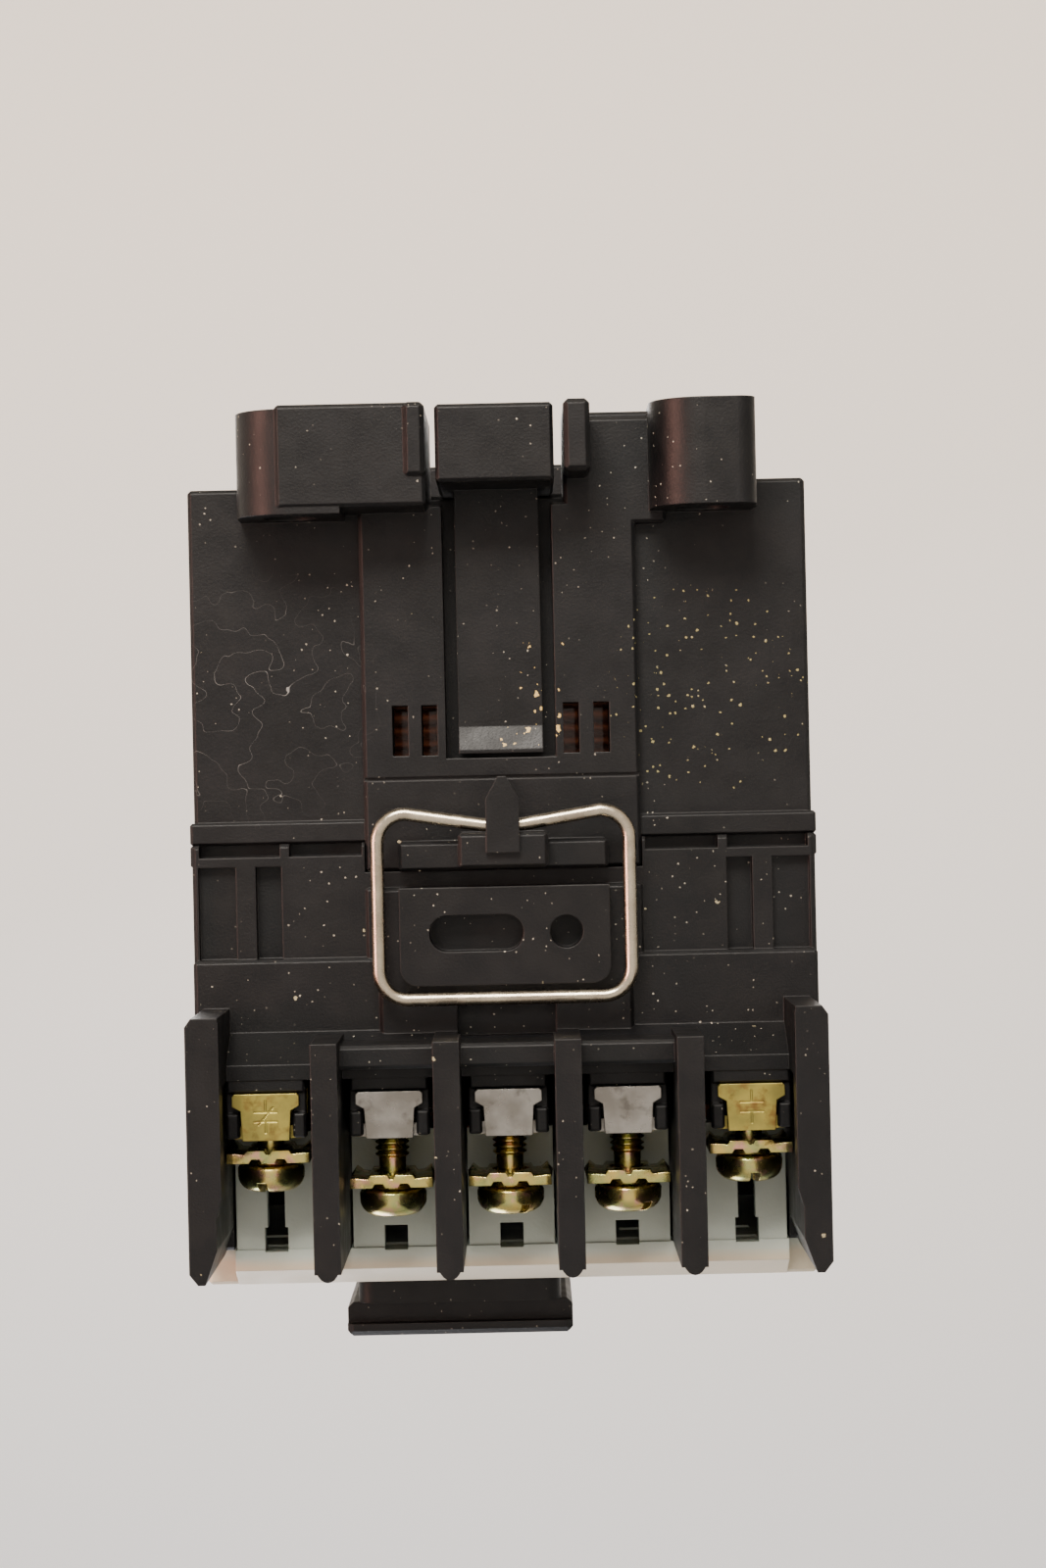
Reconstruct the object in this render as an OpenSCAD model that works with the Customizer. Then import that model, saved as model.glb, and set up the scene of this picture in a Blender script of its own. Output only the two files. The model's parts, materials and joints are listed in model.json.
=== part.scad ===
// Three-pole contactor with two auxiliary contacts, for a 35 mm rail or a panel.
// Frame: X to the right seen from the front, Z up (line end up, load end down).
// Y = 0 is the rear mounting plane and the front faces -Y.
// "Depth" is the distance in front of the mounting plane, so Y = -depth.
// "Height" is the distance from the rail's centre line towards either end.

/* [Overall] */
// Width of the rear housing
body_w = 53; // [51:0.2:60]
// Height over the barrier tips, line end to load end
body_h = 80; // [78:0.5:90]
// How far the joint ledge stands out from the sides
ledge_proud = 0.3; // [0.1:0.1:0.8]
// Wall of the side of the housings
side_wall = 2.6; // [1.8:0.1:3]
// Edge chamfer of the mouldings
edge = 0.3; // [0.1:0.05:0.4]

/* [Depths] */
// Seat on the rail, in front of the mounting plane
rail_seat = 6.2; // [5.5:0.1:7]
// Joint between the rear and the front housing
split = 36.7; // [36:0.1:38]
// Front of the terminal barriers
barrier_front = 72.4; // [72:0.1:76]
// Front face of the head
head_front = 80.7; // [79:0.1:86]

/* [Rail and panel mounting] */
// Width of the mounting rail
rail_w = 35; // [35:0.1:35.3]
// Thickness of the rail's lip
rail_lip = 1; // [0.8:0.1:1.1]
// How far a hook reaches behind the lip
hook_grip = 1.7; // [1.2:0.1:2]
// Spacing of the mounting holes across
hole_dx = 35; // [34:0.5:36]
// Spacing of the mounting holes along
hole_dz = 60; // [58:0.5:61]
// Radius of a mounting hole
hole_r = 2.25; // [2.15:0.05:2.5]
// Thickness of a mounting lug
lug_t = 8.9; // [7:0.1:10]

/* [Rear housing] */
// Height of the side walls
side_h = 26.5; // [26:0.1:27]
// Width of the raised middle column
column_w = 23.6; // [22:0.2:25]
// Height of the column's face
column_h = 28; // [27.5:0.1:28.5]
// Floor of the rear housing
floor_t = 2.6; // [2:0.1:3]

/* [Rail latch] */
// Width of the latch block
latch_w = 9.9; // [9:0.1:10.2]
// Width of the latch tongue
tongue_w = 7.2; // [6:0.1:7.4]
// Thickness of the latch tongue
tongue_t = 2; // [1.6:0.1:2.2]
// Depth of the tongue's root
tongue_root = 28.2; // [26:0.1:29]
// Slit beside the tongue
slit = 1.1; // [0.6:0.1:1.2]

/* [Wire bails] */
// Wire diameter
wire_d = 1.15; // [0.9:0.05:1.2]
// Width of the bail between wire centres
bail_w = 21.3; // [20.5:0.1:22]
// Depth of the bail's hinge side
bail_rear = 34.3; // [34.1:0.1:34.6]
// Depth of the bail's closing side
bail_front = 50; // [49.9:0.1:51.5]
// Dip of the wire behind the hook finger
bail_dip = 1.1; // [0.8:0.1:1.2]
// Corner radius of the bail
bail_r = 2.4; // [1.8:0.1:3]

/* [Terminals] */
// Spacing of the poles
pitch = 10; // [9.8:0.1:10.2]
// Thickness of a barrier between two poles
barrier_t = 2.2; // [1.8:0.1:2.4]
// How far the screws lie behind the barrier tips
screw_inset = 11.5; // [11:0.1:12.5]
// Width of a terminal strip
strip_w = 5.6; // [5:0.1:6]
// Thickness of a terminal strip
strip_t = 1.1; // [0.8:0.05:1.3]
// Depth of the face that a screw clamps on
clamp_face = 61.4; // [61:0.1:62]

/* [Terminal screws] */
// Thread radius
thread_r = 1.5; // [1.4:0.05:1.75]
// Radius of the head
screw_head_r = 2.9; // [2.7:0.1:3.3]
// Height of the head
screw_head_h = 2.8; // [2.4:0.1:3.1]
// Length of the shank
shank = 8.6; // [8:0.1:9.4]
// Side of the square clamping washer
washer_w = 7; // [6.6:0.1:7.4]
// Thickness of the washer
washer_t = 1.2; // [0.9:0.1:1.4]
// How far the main screws are backed out
backed_out = 3.1; // [0:0.1:3.4]
// How far the auxiliary screws are backed out
aux_backed_out = 0.8; // [0:0.1:1]

/* [Magnet] */
// Width of the magnet cores
core_w = 42; // [40:0.5:44]
// Thickness of the laminated stacks
stack = 14; // [12:0.5:15]
// Width of the middle leg
mid_leg = 10; // [9:0.5:11]
// Width of an outer leg
out_leg = 6; // [5:0.5:6.5]
// Air gap, which is the travel of the magnet and the carrier
gap = 5.5; // [4.5:0.1:5.6]
// Thickness of the rubber cushion behind the fixed core
cushion_t = 1.5; // [1:0.1:2]

/* [Contacts] */
// Thickness of a moving contact bridge
bridge_t = 1.2; // [0.9:0.1:1.4]
// Height of the contact points from the centre line
contact_h = 11.4; // [11:0.1:12]
// Radius of a silver contact
contact_r = 2; // [1.6:0.1:2.2]
// Thickness of a silver contact
contact_t = 0.8; // [0.6:0.1:1]
// Opening of the contacts, which is the travel of the bridges
opening = 2.9; // [2.6:0.1:3]

/* [Carrier and head] */
// Thickness of the contact carrier's blade
blade_t = 4.8; // [4:0.2:5.4]
// Width of the head
head_w = 20; // [18:0.5:22]
// Height of the head, measured along the contactor
head_h = 35; // [30:1:40]
// Distance of the head's middle from the contactor's middle
head_x = 4.8; // [4:0.1:5.4]

/* [Hidden] */
$fn = 48;

// Colours
BLACK = "#26272b";
GREY = "#d3d6cf";
STEEL = "#b9bcc0";
BRASS = "#c9a95a";
ZINC = "#c8b678";
NICKEL = "#c2c2bf";
COPPER = "#b46a42";
SILVER = "#e2e2de";

// Clearances
fit = 0.05;
play = 0.2;
free = 0.3;
shaft_play = 0.07;
washer_play = 0.1;

// Places of the poles: the three mains, then the two auxiliaries outside them
MAINS = [-pitch, 0, pitch];
AUX_X = 2 * pitch + 0.35;
BARRIERS = [-1.5 * pitch, -0.5 * pitch, 0.5 * pitch, 1.5 * pitch];

// Heights
tip_h = body_h / 2;
screw_h = tip_h - screw_inset;
shelf_h = tip_h - 4;
aux_shelf_h = tip_h - 7;
flange_h = tip_h - 6.6;
ledge_h = side_h + 0.8;
inner_h = side_h - 3;
front_h = column_h;
front_step_h = column_h + 0.8;
front_column_h = column_h + 1.3;
plate_h = column_h + 3.2;
lug_root = 25;
lug_top = hole_dz / 2 + 4.6;
block_h = hole_dz / 2 + 4.8;
foot_h = 9.6;
pin_over = 2.4;
WAIST = [3.4, 7.4];

// Widths
front_w = body_w + 0.2;
ledge_w = body_w + 2 * ledge_proud;
inner_w = body_w - 2 * side_wall;
outer_barrier_w = body_w - 0.4;
outer_barrier_t = 2.3;
bay_x = outer_barrier_w / 2 - outer_barrier_t;
bay_in = 1.5 * pitch + barrier_t / 2;
rear_w = 43.8;
rear_gap = latch_w + 1.7;
block_right = 18.3;
block_left = 14.5;
hook_half = 8.9;
stem_half = 3.8;
foot_half = 16;
coil_strip_half = 2.6;

// Depths in the front housing
ledge_back = split - 1.9;
ledge_front = split + 1.9;
pocket_front = ledge_front + 7.9;
hook_bar_front = split + 2.5;
hook_plate_back = hook_bar_front + 1.4;
hook_plate_front = hook_plate_back + 8.3;
deck_back = barrier_front - 19.5;
deck_front = deck_back + 3.5;
pad_front = deck_front + 1.1;
strip_back = clamp_face - strip_t;
cover_back = barrier_front - 0.6;
cover_front = barrier_front + 2.8;
cover_h = screw_h - washer_w / 2 - 0.45;
face_h = cover_h - 3;
outer_barrier_h = face_h + 0.95;

// End plate of a terminal strip: its thickness, bar, neck and how far the neck runs in
plate_t = 0.8;
bar_l = 1.4;
neck_w = strip_w - 1.4;
neck_l = 1.7;

// Magnet system
floor_front = rail_seat + floor_t;
core_back = floor_front + cushion_t;
yoke = 6;
pole_face = core_back + 17.3;
armature_face = pole_face + gap;
armature_yoke = armature_face + 5;
armature_front = armature_yoke + yoke;
leg_room = 0.4;
bobbin_wall = 1;
flange_t = 1.3;
bobbin_back = core_back + yoke + leg_room;
bobbin_front = armature_face - 0.8;
bobbin_h = 17;
coil_w = core_w - 2 * out_leg - 1.2;
pin_r = 1.5;
pin_depth = armature_yoke + 3;
spring_h = stack / 2 + 6;

// Seats of the screw heads, and where a tightened screw ends
tight_seat = clamp_face + fit + washer_t;
aux_seat = tight_seat + aux_backed_out;
main_seat = tight_seat + backed_out;
screw_end = tight_seat - shank;

// Square way that a washer moves in
washer_way = washer_w + 2 * washer_play;

// Contacts: the closing ones meet in front of their strips, the opening one behind it
tongue_back = deck_front + play;
tongue_front = tongue_back + strip_t;
fixed_tip_front = tongue_front + contact_t;
bridge_back = fixed_tip_front + opening + contact_t;
bridge_front = bridge_back + bridge_t;
opening_tip_back = strip_back - contact_t;
opening_bridge_front = opening_tip_back - 0.1 - contact_t;
opening_bridge_back = opening_bridge_front - bridge_t;
strip_inner_h = contact_h - contact_r - 0.3;
bridge_h = contact_h + contact_r + 0.2;
overtravel = gap - opening + 0.1;

// Carrier
carrier_back = armature_front + 0.1;
foot_front = carrier_back + 3.2;
blade_front = cover_back - 1;
blade_w = 2 * AUX_X + 2 * 2.8;
window_w = strip_w + 0.9;
spring_room = 2.9 + overtravel;
opening_room = 3.2;
nose_w = 6;
nose_h = 9;
well_h = 8;
well_w = blade_w + 2 * free + 0.4;

// Bail
bail_z = column_h + 3.4;
finger_w = 2.8;
wire_r = wire_d / 2;

// ---- Helpers -------------------------------------------------------------

// Block given by its ranges across, in depth and in height
module blk(x, d, h)
    translate([x[0], -d[1], h[0]])
        cube([x[1] - x[0], d[1] - d[0], h[1] - h[0]]);

// Rectangle with its corners cut off
module cut_rect(a, b, c)
    polygon([[a[0] + c, b[0]], [a[1] - c, b[0]], [a[1], b[0] + c], [a[1], b[1] - c],
        [a[1] - c, b[1]], [a[0] + c, b[1]], [a[0], b[1] - c], [a[0], b[0] + c]]);

// Rectangle with round corners
module round_rect(a, b, r) {
    translate([a[0] + r, b[0]]) square([a[1] - a[0] - 2 * r, b[1] - b[0]]);
    translate([a[0], b[0] + r]) square([a[1] - a[0], b[1] - b[0] - 2 * r]);
    for (x = [a[0] + r, a[1] - r], y = [b[0] + r, b[1] - r])
        translate([x, y]) circle(r);
}

// Outline drawn across and in depth, made solid over a range of heights
module upright(h)
    mirror([0, 1, 0])
        translate([0, 0, h[0]])
            linear_extrude(h[1] - h[0]) children();

// Outline drawn across and in height, made solid over a range of depths
module facing(d)
    translate([0, -d[0], 0])
        rotate([90, 0, 0])
            linear_extrude(d[1] - d[0]) children();

// Outline drawn in depth (first) and height, made solid across
module side_on(x)
    translate([x[0], 0, 0])
        rotate([90, 0, 90])
            linear_extrude(x[1] - x[0])
                mirror([1, 0, 0]) children();

// Block with all its edges chamfered
module cblk(x, d, h, c = edge)
    intersection() {
        upright(h) cut_rect(x, d, c);
        facing(d) cut_rect(x, h, c);
        side_on(x) cut_rect(d, h, c);
    }

// Round bar along the depth
module peg(x, h, d, r)
    translate([x, -d[0], h])
        rotate([90, 0, 0])
            cylinder(h = d[1] - d[0], r = r);

module load_end() mirror([0, 0, 1]) children();

module both_ends() {
    children();
    load_end() children();
}

module both_sides() {
    children();
    mirror([1, 0, 0]) children();
}

// Triangles that join rings of n points into a closed or an open tube
function wall_faces(rings, n, closed) =
    [for (i = [0 : rings - (closed ? 1 : 2)], k = [0 : n - 1])
        let (a = i * n + k, b = i * n + (k + 1) % n,
             c = ((i + 1) % rings) * n + (k + 1) % n, e = ((i + 1) % rings) * n + k)
        [a, b, c, e]];

function end_faces(rings, n) =
    [[for (k = [n - 1 : -1 : 0]) k], [for (k = [0 : n - 1]) (rings - 1) * n + k]];

// Coil spring round an axis along the depth
module coil_spring(x, h, d, r, wire, turns) {
    sides = 6;
    steps = 12 * turns;
    lift = (d[1] - d[0] - 2 * wire) / steps;
    points = [for (i = [0 : steps], k = [0 : sides - 1])
        let (a = i * 30, b = k * 360 / sides, reach = r + wire * cos(b))
        [x + reach * cos(a), -(d[0] + wire + lift * i + wire * sin(b)), h + reach * sin(a)]];
    polyhedron(points, concat(wall_faces(steps + 1, sides, false), end_faces(steps + 1, sides)));
}

// ---- Rear housing --------------------------------------------------------

// Radius of the lugs' large corners, and of the small one
lug_r = 4.5;
lug_small_r = 1.5;

// Left lug in outline: a large radius outside
module lug_left() {
    x0 = 13;
    x1 = rear_w / 2;
    translate([x0, lug_root]) square([x1 - lug_r - x0, lug_top - lug_root]);
    translate([x1 - lug_r - 1, lug_root]) square([lug_r + 1, lug_top - lug_r - lug_root]);
    translate([x1 - lug_r, lug_top - lug_r]) circle(lug_r);
}

// Right lug in outline: a large radius inside and a small one outside
module lug_right() {
    s = lug_small_r;
    x0 = -rear_w / 2;
    x1 = x0 + 8.8;
    translate([x0 + s, lug_root]) square([x1 - lug_r - x0 - s, lug_top - lug_root]);
    translate([x0, lug_root]) square([x1 - x0, lug_top - lug_r - lug_root]);
    translate([x0, lug_root]) square([x1 - lug_r - x0, lug_top - s - lug_root]);
    translate([x1 - lug_r, lug_top - lug_r]) circle(lug_r);
    translate([x0 + s, lug_top - s]) circle(s);
}

module rear_blocks() {
    cblk([-rear_w / 2, rear_w / 2], [0.2, floor_front], [rail_w / 2 + play, side_h]);
    facing([0.3, lug_t + 0.2]) lug_left();
    facing([0, lug_t]) lug_right();
    cblk([rear_gap / 2, block_right], [0, lug_t - 0.3], [lug_root, block_h]);
    cblk([-block_left, -rear_gap / 2], [0.8, lug_t + 1], [lug_root, column_h]);
    cblk([rear_gap / 2, rear_gap / 2 + 1.8], [-0.01, rail_seat], [lug_root, block_h + 0.4], 0.4);
    cblk([-rear_gap / 2 - 2.2, -rear_gap / 2], [-0.01, rail_seat - 0.2], [lug_root, block_h + 0.4], 0.4);
}

// Fixed hooks behind the upper lip of the rail
module rail_hooks() {
    lip = rail_seat - rail_lip - play;
    top = rail_w / 2 + play;
    for (x = [-20, 9])
        side_on([x, x + 11])
            polygon([[0.4, top + 1], [lip, top + 1], [lip, top - hook_grip - play],
                [lip - 1.2, top - hook_grip - play], [0.4, top - 0.6]]);
}

// Finger and bar that hold the hinge side of a bail
module bail_hook() {
    cblk([-hook_half, hook_half], [split, hook_bar_front], [inner_h + 0.5, column_h + 2.6]);
    seat = bail_rear + bail_dip + wire_r + 0.06;
    cblk([-stem_half, stem_half], [seat, hook_bar_front - 0.2], [inner_h + 0.5, bail_z + 1.4]);
    top = split - 5.4;
    root = split + 1;
    upright([bail_z + wire_r + play, bail_z + 2])
        polygon([[-finger_w / 2, root], [finger_w / 2, root], [finger_w / 2, top + 1.9],
            [0.35, top], [-0.35, top], [-finger_w / 2, top + 1.9]]);
}

module latch_channel() {
    end = tongue_root + 1.5;
    blk([-rear_gap / 2, rear_gap / 2], [-1, rail_seat + 1.1], [rail_w / 2 - 1, 40]);
    blk([-rear_gap / 2, rear_gap / 2], [rail_seat, rail_seat + 1.8], [column_h - 3.4, 40]);
    blk([-tongue_w / 2 - slit, tongue_w / 2 + slit], [rail_seat + 1.7, end], [column_h - 3.4, 40]);
}

// Air slots beside the latch tongue: where each begins, and its width
AIR_SLOTS = [-9.3, -6.7, 5.4, 7.9];
air_slot_w = 1.35;

module base_frame() color(BLACK) difference() {
    union() {
        cblk([-body_w / 2, body_w / 2], [rail_seat, split], [-side_h, side_h]);
        cblk([-ledge_w / 2, ledge_w / 2], [ledge_back, split], [-ledge_h, ledge_h], 0.2);
        both_ends() {
            rear_blocks();
            cblk([-column_w / 2, column_w / 2], [lug_t - 1, hook_bar_front], [inner_h, column_h]);
            bail_hook();
        }
        rail_hooks();
    }
    // The hollow that holds the magnet
    blk([-inner_w / 2, inner_w / 2], [floor_front, split + 0.01], [-inner_h, inner_h]);
    blk([-ledge_w, ledge_w], [split, split + 4], [-inner_h - 0.4, inner_h + 0.4]);
    // The latch's way at the load end, and panel screw holes
    load_end() latch_channel();
    for (x = [-hole_dx / 2, hole_dx / 2], h = [-hole_dz / 2, hole_dz / 2])
        peg(x, h, [-2, lug_t + 2], hole_r);
    both_ends() {
        // Air slots beside the latch, and the line across the column
        for (x = AIR_SLOTS)
            blk([x, x + air_slot_w], [tongue_root - 3.1, tongue_root + 1.2], [inner_h - 1, column_h + 1]);
        blk([-column_w, column_w], [split - 5.5, split - 5.2], [column_h - 0.25, column_h + 0.5]);
    }
}

latch_back = 0.2;
latch_front = rail_seat + 0.5;
tongue_h = column_h - 0.8;

module rail_latch() color(BLACK) load_end() {
    lip = rail_seat - rail_lip - play;
    nose = rail_w / 2 - hook_grip;
    cblk([-latch_w / 2, latch_w / 2], [latch_back, latch_front], [19.2, block_h]);
    side_on([-latch_w / 2, latch_w / 2])
        polygon([[1, 19.7], [lip, 19.7], [lip, nose], [lip - 1, nose], [1, nose + 2.5]]);
    blk([-tongue_w / 2, tongue_w / 2], [latch_front - 0.5, tongue_root], [tongue_h - tongue_t, tongue_h]);
    side_on([-tongue_w / 2, tongue_w / 2])
        polygon([[tongue_root - 1.2, tongue_h - tongue_t], [tongue_root - 1.2, tongue_h],
            [tongue_root + 0.8, column_h - 0.1], [tongue_root + 1.1, column_h - 0.1],
            [tongue_root + 1.1, tongue_h - 0.8], [tongue_root + 0.4, tongue_h - tongue_t]]);
}

// ---- Magnet system -------------------------------------------------------

// E-shaped stack with its back from b to b + yoke and its legs reaching to face
module e_core(back, face) {
    d = [min(back, face), max(back, face)];
    inside = face > back ? [back + yoke, d[1] + 1] : [d[0] - 1, back - yoke];
    difference() {
        blk([-core_w / 2, core_w / 2], d, [-stack / 2, stack / 2]);
        both_sides()
            blk([mid_leg / 2, core_w / 2 - out_leg], inside, [-stack, stack]);
    }
}

ring_x = core_w / 2 - out_leg / 2;
ring_t = 1;
rivet_r = 1.2;
RIVETS = [-13, 13];

module rivet_bars(d, over)
    for (x = RIVETS)
        translate([x, -d, -stack / 2 - over]) cylinder(h = stack + 2 * over, r = rivet_r);

module rubber_cushion() color("#3a3a3a") difference() {
    cblk([-core_w / 2, core_w / 2], [floor_front, core_back], [-stack / 2, stack / 2], 0.2);
    for (x = [-12, 0, 12])
        peg(x, 0, [0, 20], 2);
}

module fixed_core() color(STEEL) difference() {
    e_core(core_back, pole_face);
    both_sides()
        blk([ring_x - ring_t / 2, ring_x + ring_t / 2], [pole_face - 1.6, pole_face + 1],
            [-stack, stack]);
    rivet_bars(core_back + yoke / 2, 1);
}

module shading_rings() color(COPPER) both_sides() difference() {
    x = [ring_x - ring_t / 2 + fit, core_w / 2 + ring_t + 0.1];
    d = [pole_face - 1.4, pole_face - 0.3];
    blk(x, d, [-stack / 2 - ring_t - 0.1, stack / 2 + ring_t + 0.1]);
    blk([ring_x + ring_t / 2 - fit, core_w / 2 + 0.1], [d[0] - 1, d[1] + 1],
        [-stack / 2 - 0.1, stack / 2 + 0.1]);
}

module core_rivets() color(STEEL) rivet_bars(core_back + yoke / 2, 0.5);

module moving_core() color(STEEL) difference() {
    e_core(armature_front, armature_face);
    translate([0, -pin_depth, -stack]) cylinder(h = 2 * stack, r = pin_r + fit);
}

module core_pin() color(STEEL)
    translate([0, -pin_depth, -stack / 2 - pin_over]) cylinder(h = stack + 2 * pin_over, r = pin_r);

module coil_bobbin() color("#e6e0cc") difference() {
    x = mid_leg / 2 + leg_room + bobbin_wall;
    h = stack / 2 + leg_room + bobbin_wall;
    union() {
        blk([-x, x], [bobbin_back, bobbin_front], [-h, h]);
        for (d = [bobbin_back, bobbin_front - flange_t])
            facing([d, d + flange_t]) round_rect([-coil_w / 2, coil_w / 2], [-bobbin_h, bobbin_h], 2);
        both_sides()
            blk([coil_w / 2 - 4, coil_x + coil_strip_half + 0.25],
                [bobbin_front - flange_t, bobbin_front], [11.5, bobbin_h]);
    }
    blk([-x + bobbin_wall, x - bobbin_wall], [0, split], [-h + bobbin_wall, h - bobbin_wall]);
}

module coil_winding() color("#8d4a25") difference() {
    x = mid_leg / 2 + leg_room + bobbin_wall;
    h = stack / 2 + leg_room + bobbin_wall;
    d = [bobbin_back + flange_t, bobbin_front - flange_t];
    facing(d) round_rect([-coil_w / 2 + 0.8, coil_w / 2 - 0.8], [-bobbin_h + 0.8, bobbin_h - 0.8], 3);
    blk([-x, x], [0, split], [-h, h]);
}

coil_x = AUX_X - 0.6;
coil_clamp = ledge_front + 5.8;
coil_seat = coil_clamp + fit + washer_t;
coil_screw_h = tip_h - 3.8;
coil_strip_h = tip_h - 0.6;

module coil_terminals() color(BRASS) both_sides() difference() {
    strip = [coil_x - coil_strip_half, coil_x + coil_strip_half];
    union() {
        blk([coil_w / 2 - 3, coil_x + coil_strip_half], [bobbin_front, bobbin_front + 0.8],
            [12.5, bobbin_h - 0.5]);
        blk(strip, [bobbin_front, coil_clamp], [bobbin_h - 1.4, bobbin_h - 0.5]);
        blk(strip, [coil_clamp - 0.9, coil_clamp], [bobbin_h - 1.4, coil_strip_h]);
    }
    peg(coil_x, coil_screw_h, [0, 60], thread_r);
}

module return_springs() color(STEEL)
    for (h = [-spring_h, spring_h])
        coil_spring(0, h, [bobbin_front + 0.02, carrier_back - 0.02], 2.2, 0.3, 6);

// ---- Contact carrier -----------------------------------------------------

module contact_carrier() color("#33343a") difference() {
    union() {
        cblk([-foot_half, foot_half], [carrier_back, foot_front], [-foot_h, foot_h], 0.2);
        blk([-4, 4], [carrier_back, foot_front], [-spring_h - 2.8, spring_h + 2.8]);
        // Ears for the core's pin
        for (h = [-stack / 2 - pin_over, stack / 2 + 0.15])
            blk([-4.4, 4.4], [pin_depth - 3, carrier_back + 1], [h, h + pin_over - 0.15]);
        blk([-blade_w / 2, blade_w / 2], [foot_front - 1, blade_front], [-blade_t / 2, blade_t / 2]);
        cblk([head_x - nose_w / 2, head_x + nose_w / 2], [blade_front - 1, head_front - 0.4],
            [-nose_h / 2, nose_h / 2], 0.4);
    }
    translate([0, -pin_depth, -stack]) cylinder(h = 2 * stack, r = pin_r);
    for (x = concat(MAINS, [-AUX_X]))
        blk([x - window_w / 2, x + window_w / 2],
            [bridge_back - play, bridge_front + spring_room], [-stack, stack]);
    blk([AUX_X - window_w / 2, AUX_X + window_w / 2],
        [opening_bridge_back - opening_room, opening_bridge_front + overtravel + play], [-stack, stack]);
}

// Moving bridge with a waist on each side of the carrier
module bridge(x, d, w)
    difference() {
        waist = 0.7;
        cblk([x - w / 2, x + w / 2], d, [-bridge_h, bridge_h], 0.15);
        both_ends()
            for (edge_x = [x - w / 2, x + w / 2])
                blk([edge_x - waist, edge_x + waist], [d[0] - 1, d[1] + 1], WAIST);
    }

module main_bridges() color(COPPER)
    for (x = MAINS)
        bridge(x, [bridge_back, bridge_front], strip_w);

module aux_closing_bridge() color(COPPER) bridge(-AUX_X, [bridge_back, bridge_front], strip_w - 0.8);

module aux_opening_bridge() color(COPPER)
    bridge(AUX_X, [opening_bridge_back, opening_bridge_front], strip_w - 0.8);

module bridge_tips() color(SILVER) both_ends() {
    for (x = concat(MAINS, [-AUX_X]))
        peg(x, contact_h, [bridge_back - contact_t, bridge_back], contact_r);
    peg(AUX_X, contact_h, [opening_bridge_front, opening_bridge_front + contact_t], contact_r);
}

module contact_springs() color(STEEL) {
    for (x = concat(MAINS, [-AUX_X]))
        coil_spring(x, 0, [bridge_front + 0.02, bridge_front + spring_room - 0.02], 1.7, 0.25, 4);
    opening_room_back = opening_bridge_back - opening_room;
    coil_spring(AUX_X, 0, [opening_room_back + 0.02, opening_bridge_back - 0.02], 1.7, 0.25, 3);
}

// ---- Front housing -------------------------------------------------------

// Barrier between two poles: it thins towards its front edge
module barrier(x) {
    t = barrier_t / 2;
    upright([well_h - 0.8, tip_h])
        polygon([[x - t, deck_back], [x + t, deck_back],
            [x + t, cover_back - fit], [x - t, cover_back - fit]]);
    nose = 1.8;
    upright([cover_h + fit, tip_h])
        polygon(concat([[x - t, deck_front - 0.5], [x + t, deck_front - 0.5]],
            [for (a = [0 : 15 : 180]) [x + t * cos(a), barrier_front - nose + nose * sin(a)]]));
}

module outer_barrier() {
    x1 = outer_barrier_w / 2;
    x0 = x1 - outer_barrier_t;
    upright([outer_barrier_h, tip_h])
        polygon([[x0 - 0.4, deck_back - 2.3], [x1 - 0.5, deck_back - 2.3], [x1, deck_back - 1.6],
            [x1, barrier_front - 0.9], [x1 - 0.7, barrier_front], [x0 + 1, barrier_front],
            [x0, barrier_front - 2.8], [x0, deck_front + 0.4], [x0 - 0.4, deck_front]]);
    // Thicker rim along the tip
    upright([tip_h - 2.4, tip_h])
        polygon([[x0 - 0.45, deck_back - 1.9], [x1 - 0.3, deck_back - 1.9], [x1 - 0.3, barrier_front - 5.4],
            [x0, barrier_front - 5.4], [x0 - 0.45, barrier_front - 7]]);
}

module coil_pad() {
    w = 3.6;
    cblk([coil_x - w, coil_x + w], [ledge_front, coil_clamp - 0.9], [front_h - 2, tip_h - 0.2]);
}

// Seat of a terminal strip, with a guide post on each side of its neck
module pole_pad(x) {
    cblk([x - strip_w / 2 - 0.5, x + strip_w / 2 + 0.5], [deck_front - 0.5, pad_front],
        [cover_h - 2, flange_h - 0.5], 0.2);
    for (side = [-1, 1]) {
        post = x + side * (neck_w / 2 + 0.7);
        cblk([post - 0.55, post + 0.55], [pad_front - 0.5, clamp_face - 0.15],
            [flange_h - neck_l + fit, flange_h - plate_t - fit], 0.1);
        cblk([post - 0.55, post + 0.55], [pad_front + bar_l + play, clamp_face - 0.15],
            [flange_h - neck_l + fit, flange_h - 0.3], 0.2);
    }
}

// Plate under the bail's closing side: its front corners are round
module hook_plate() {
    r = 1.5;
    upright([front_h - 2, plate_h]) {
        translate([-hook_half, hook_plate_back])
            square([2 * hook_half, hook_plate_front - hook_plate_back - r]);
        translate([-hook_half + r, hook_plate_back])
            square([2 * (hook_half - r), hook_plate_front - hook_plate_back]);
        for (x = [-hook_half + r, hook_half - r])
            translate([x, hook_plate_front - r]) circle(r);
    }
}

// Ranges across of the slots in the ledge, and of the empty places for coil terminals
LEDGE_SLOTS = [[column_w / 2 + 0.3, 18.3], [19.1, 26]];
COIL_PLACES = [[22.9, 26.1], [19, 21.2]];

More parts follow.
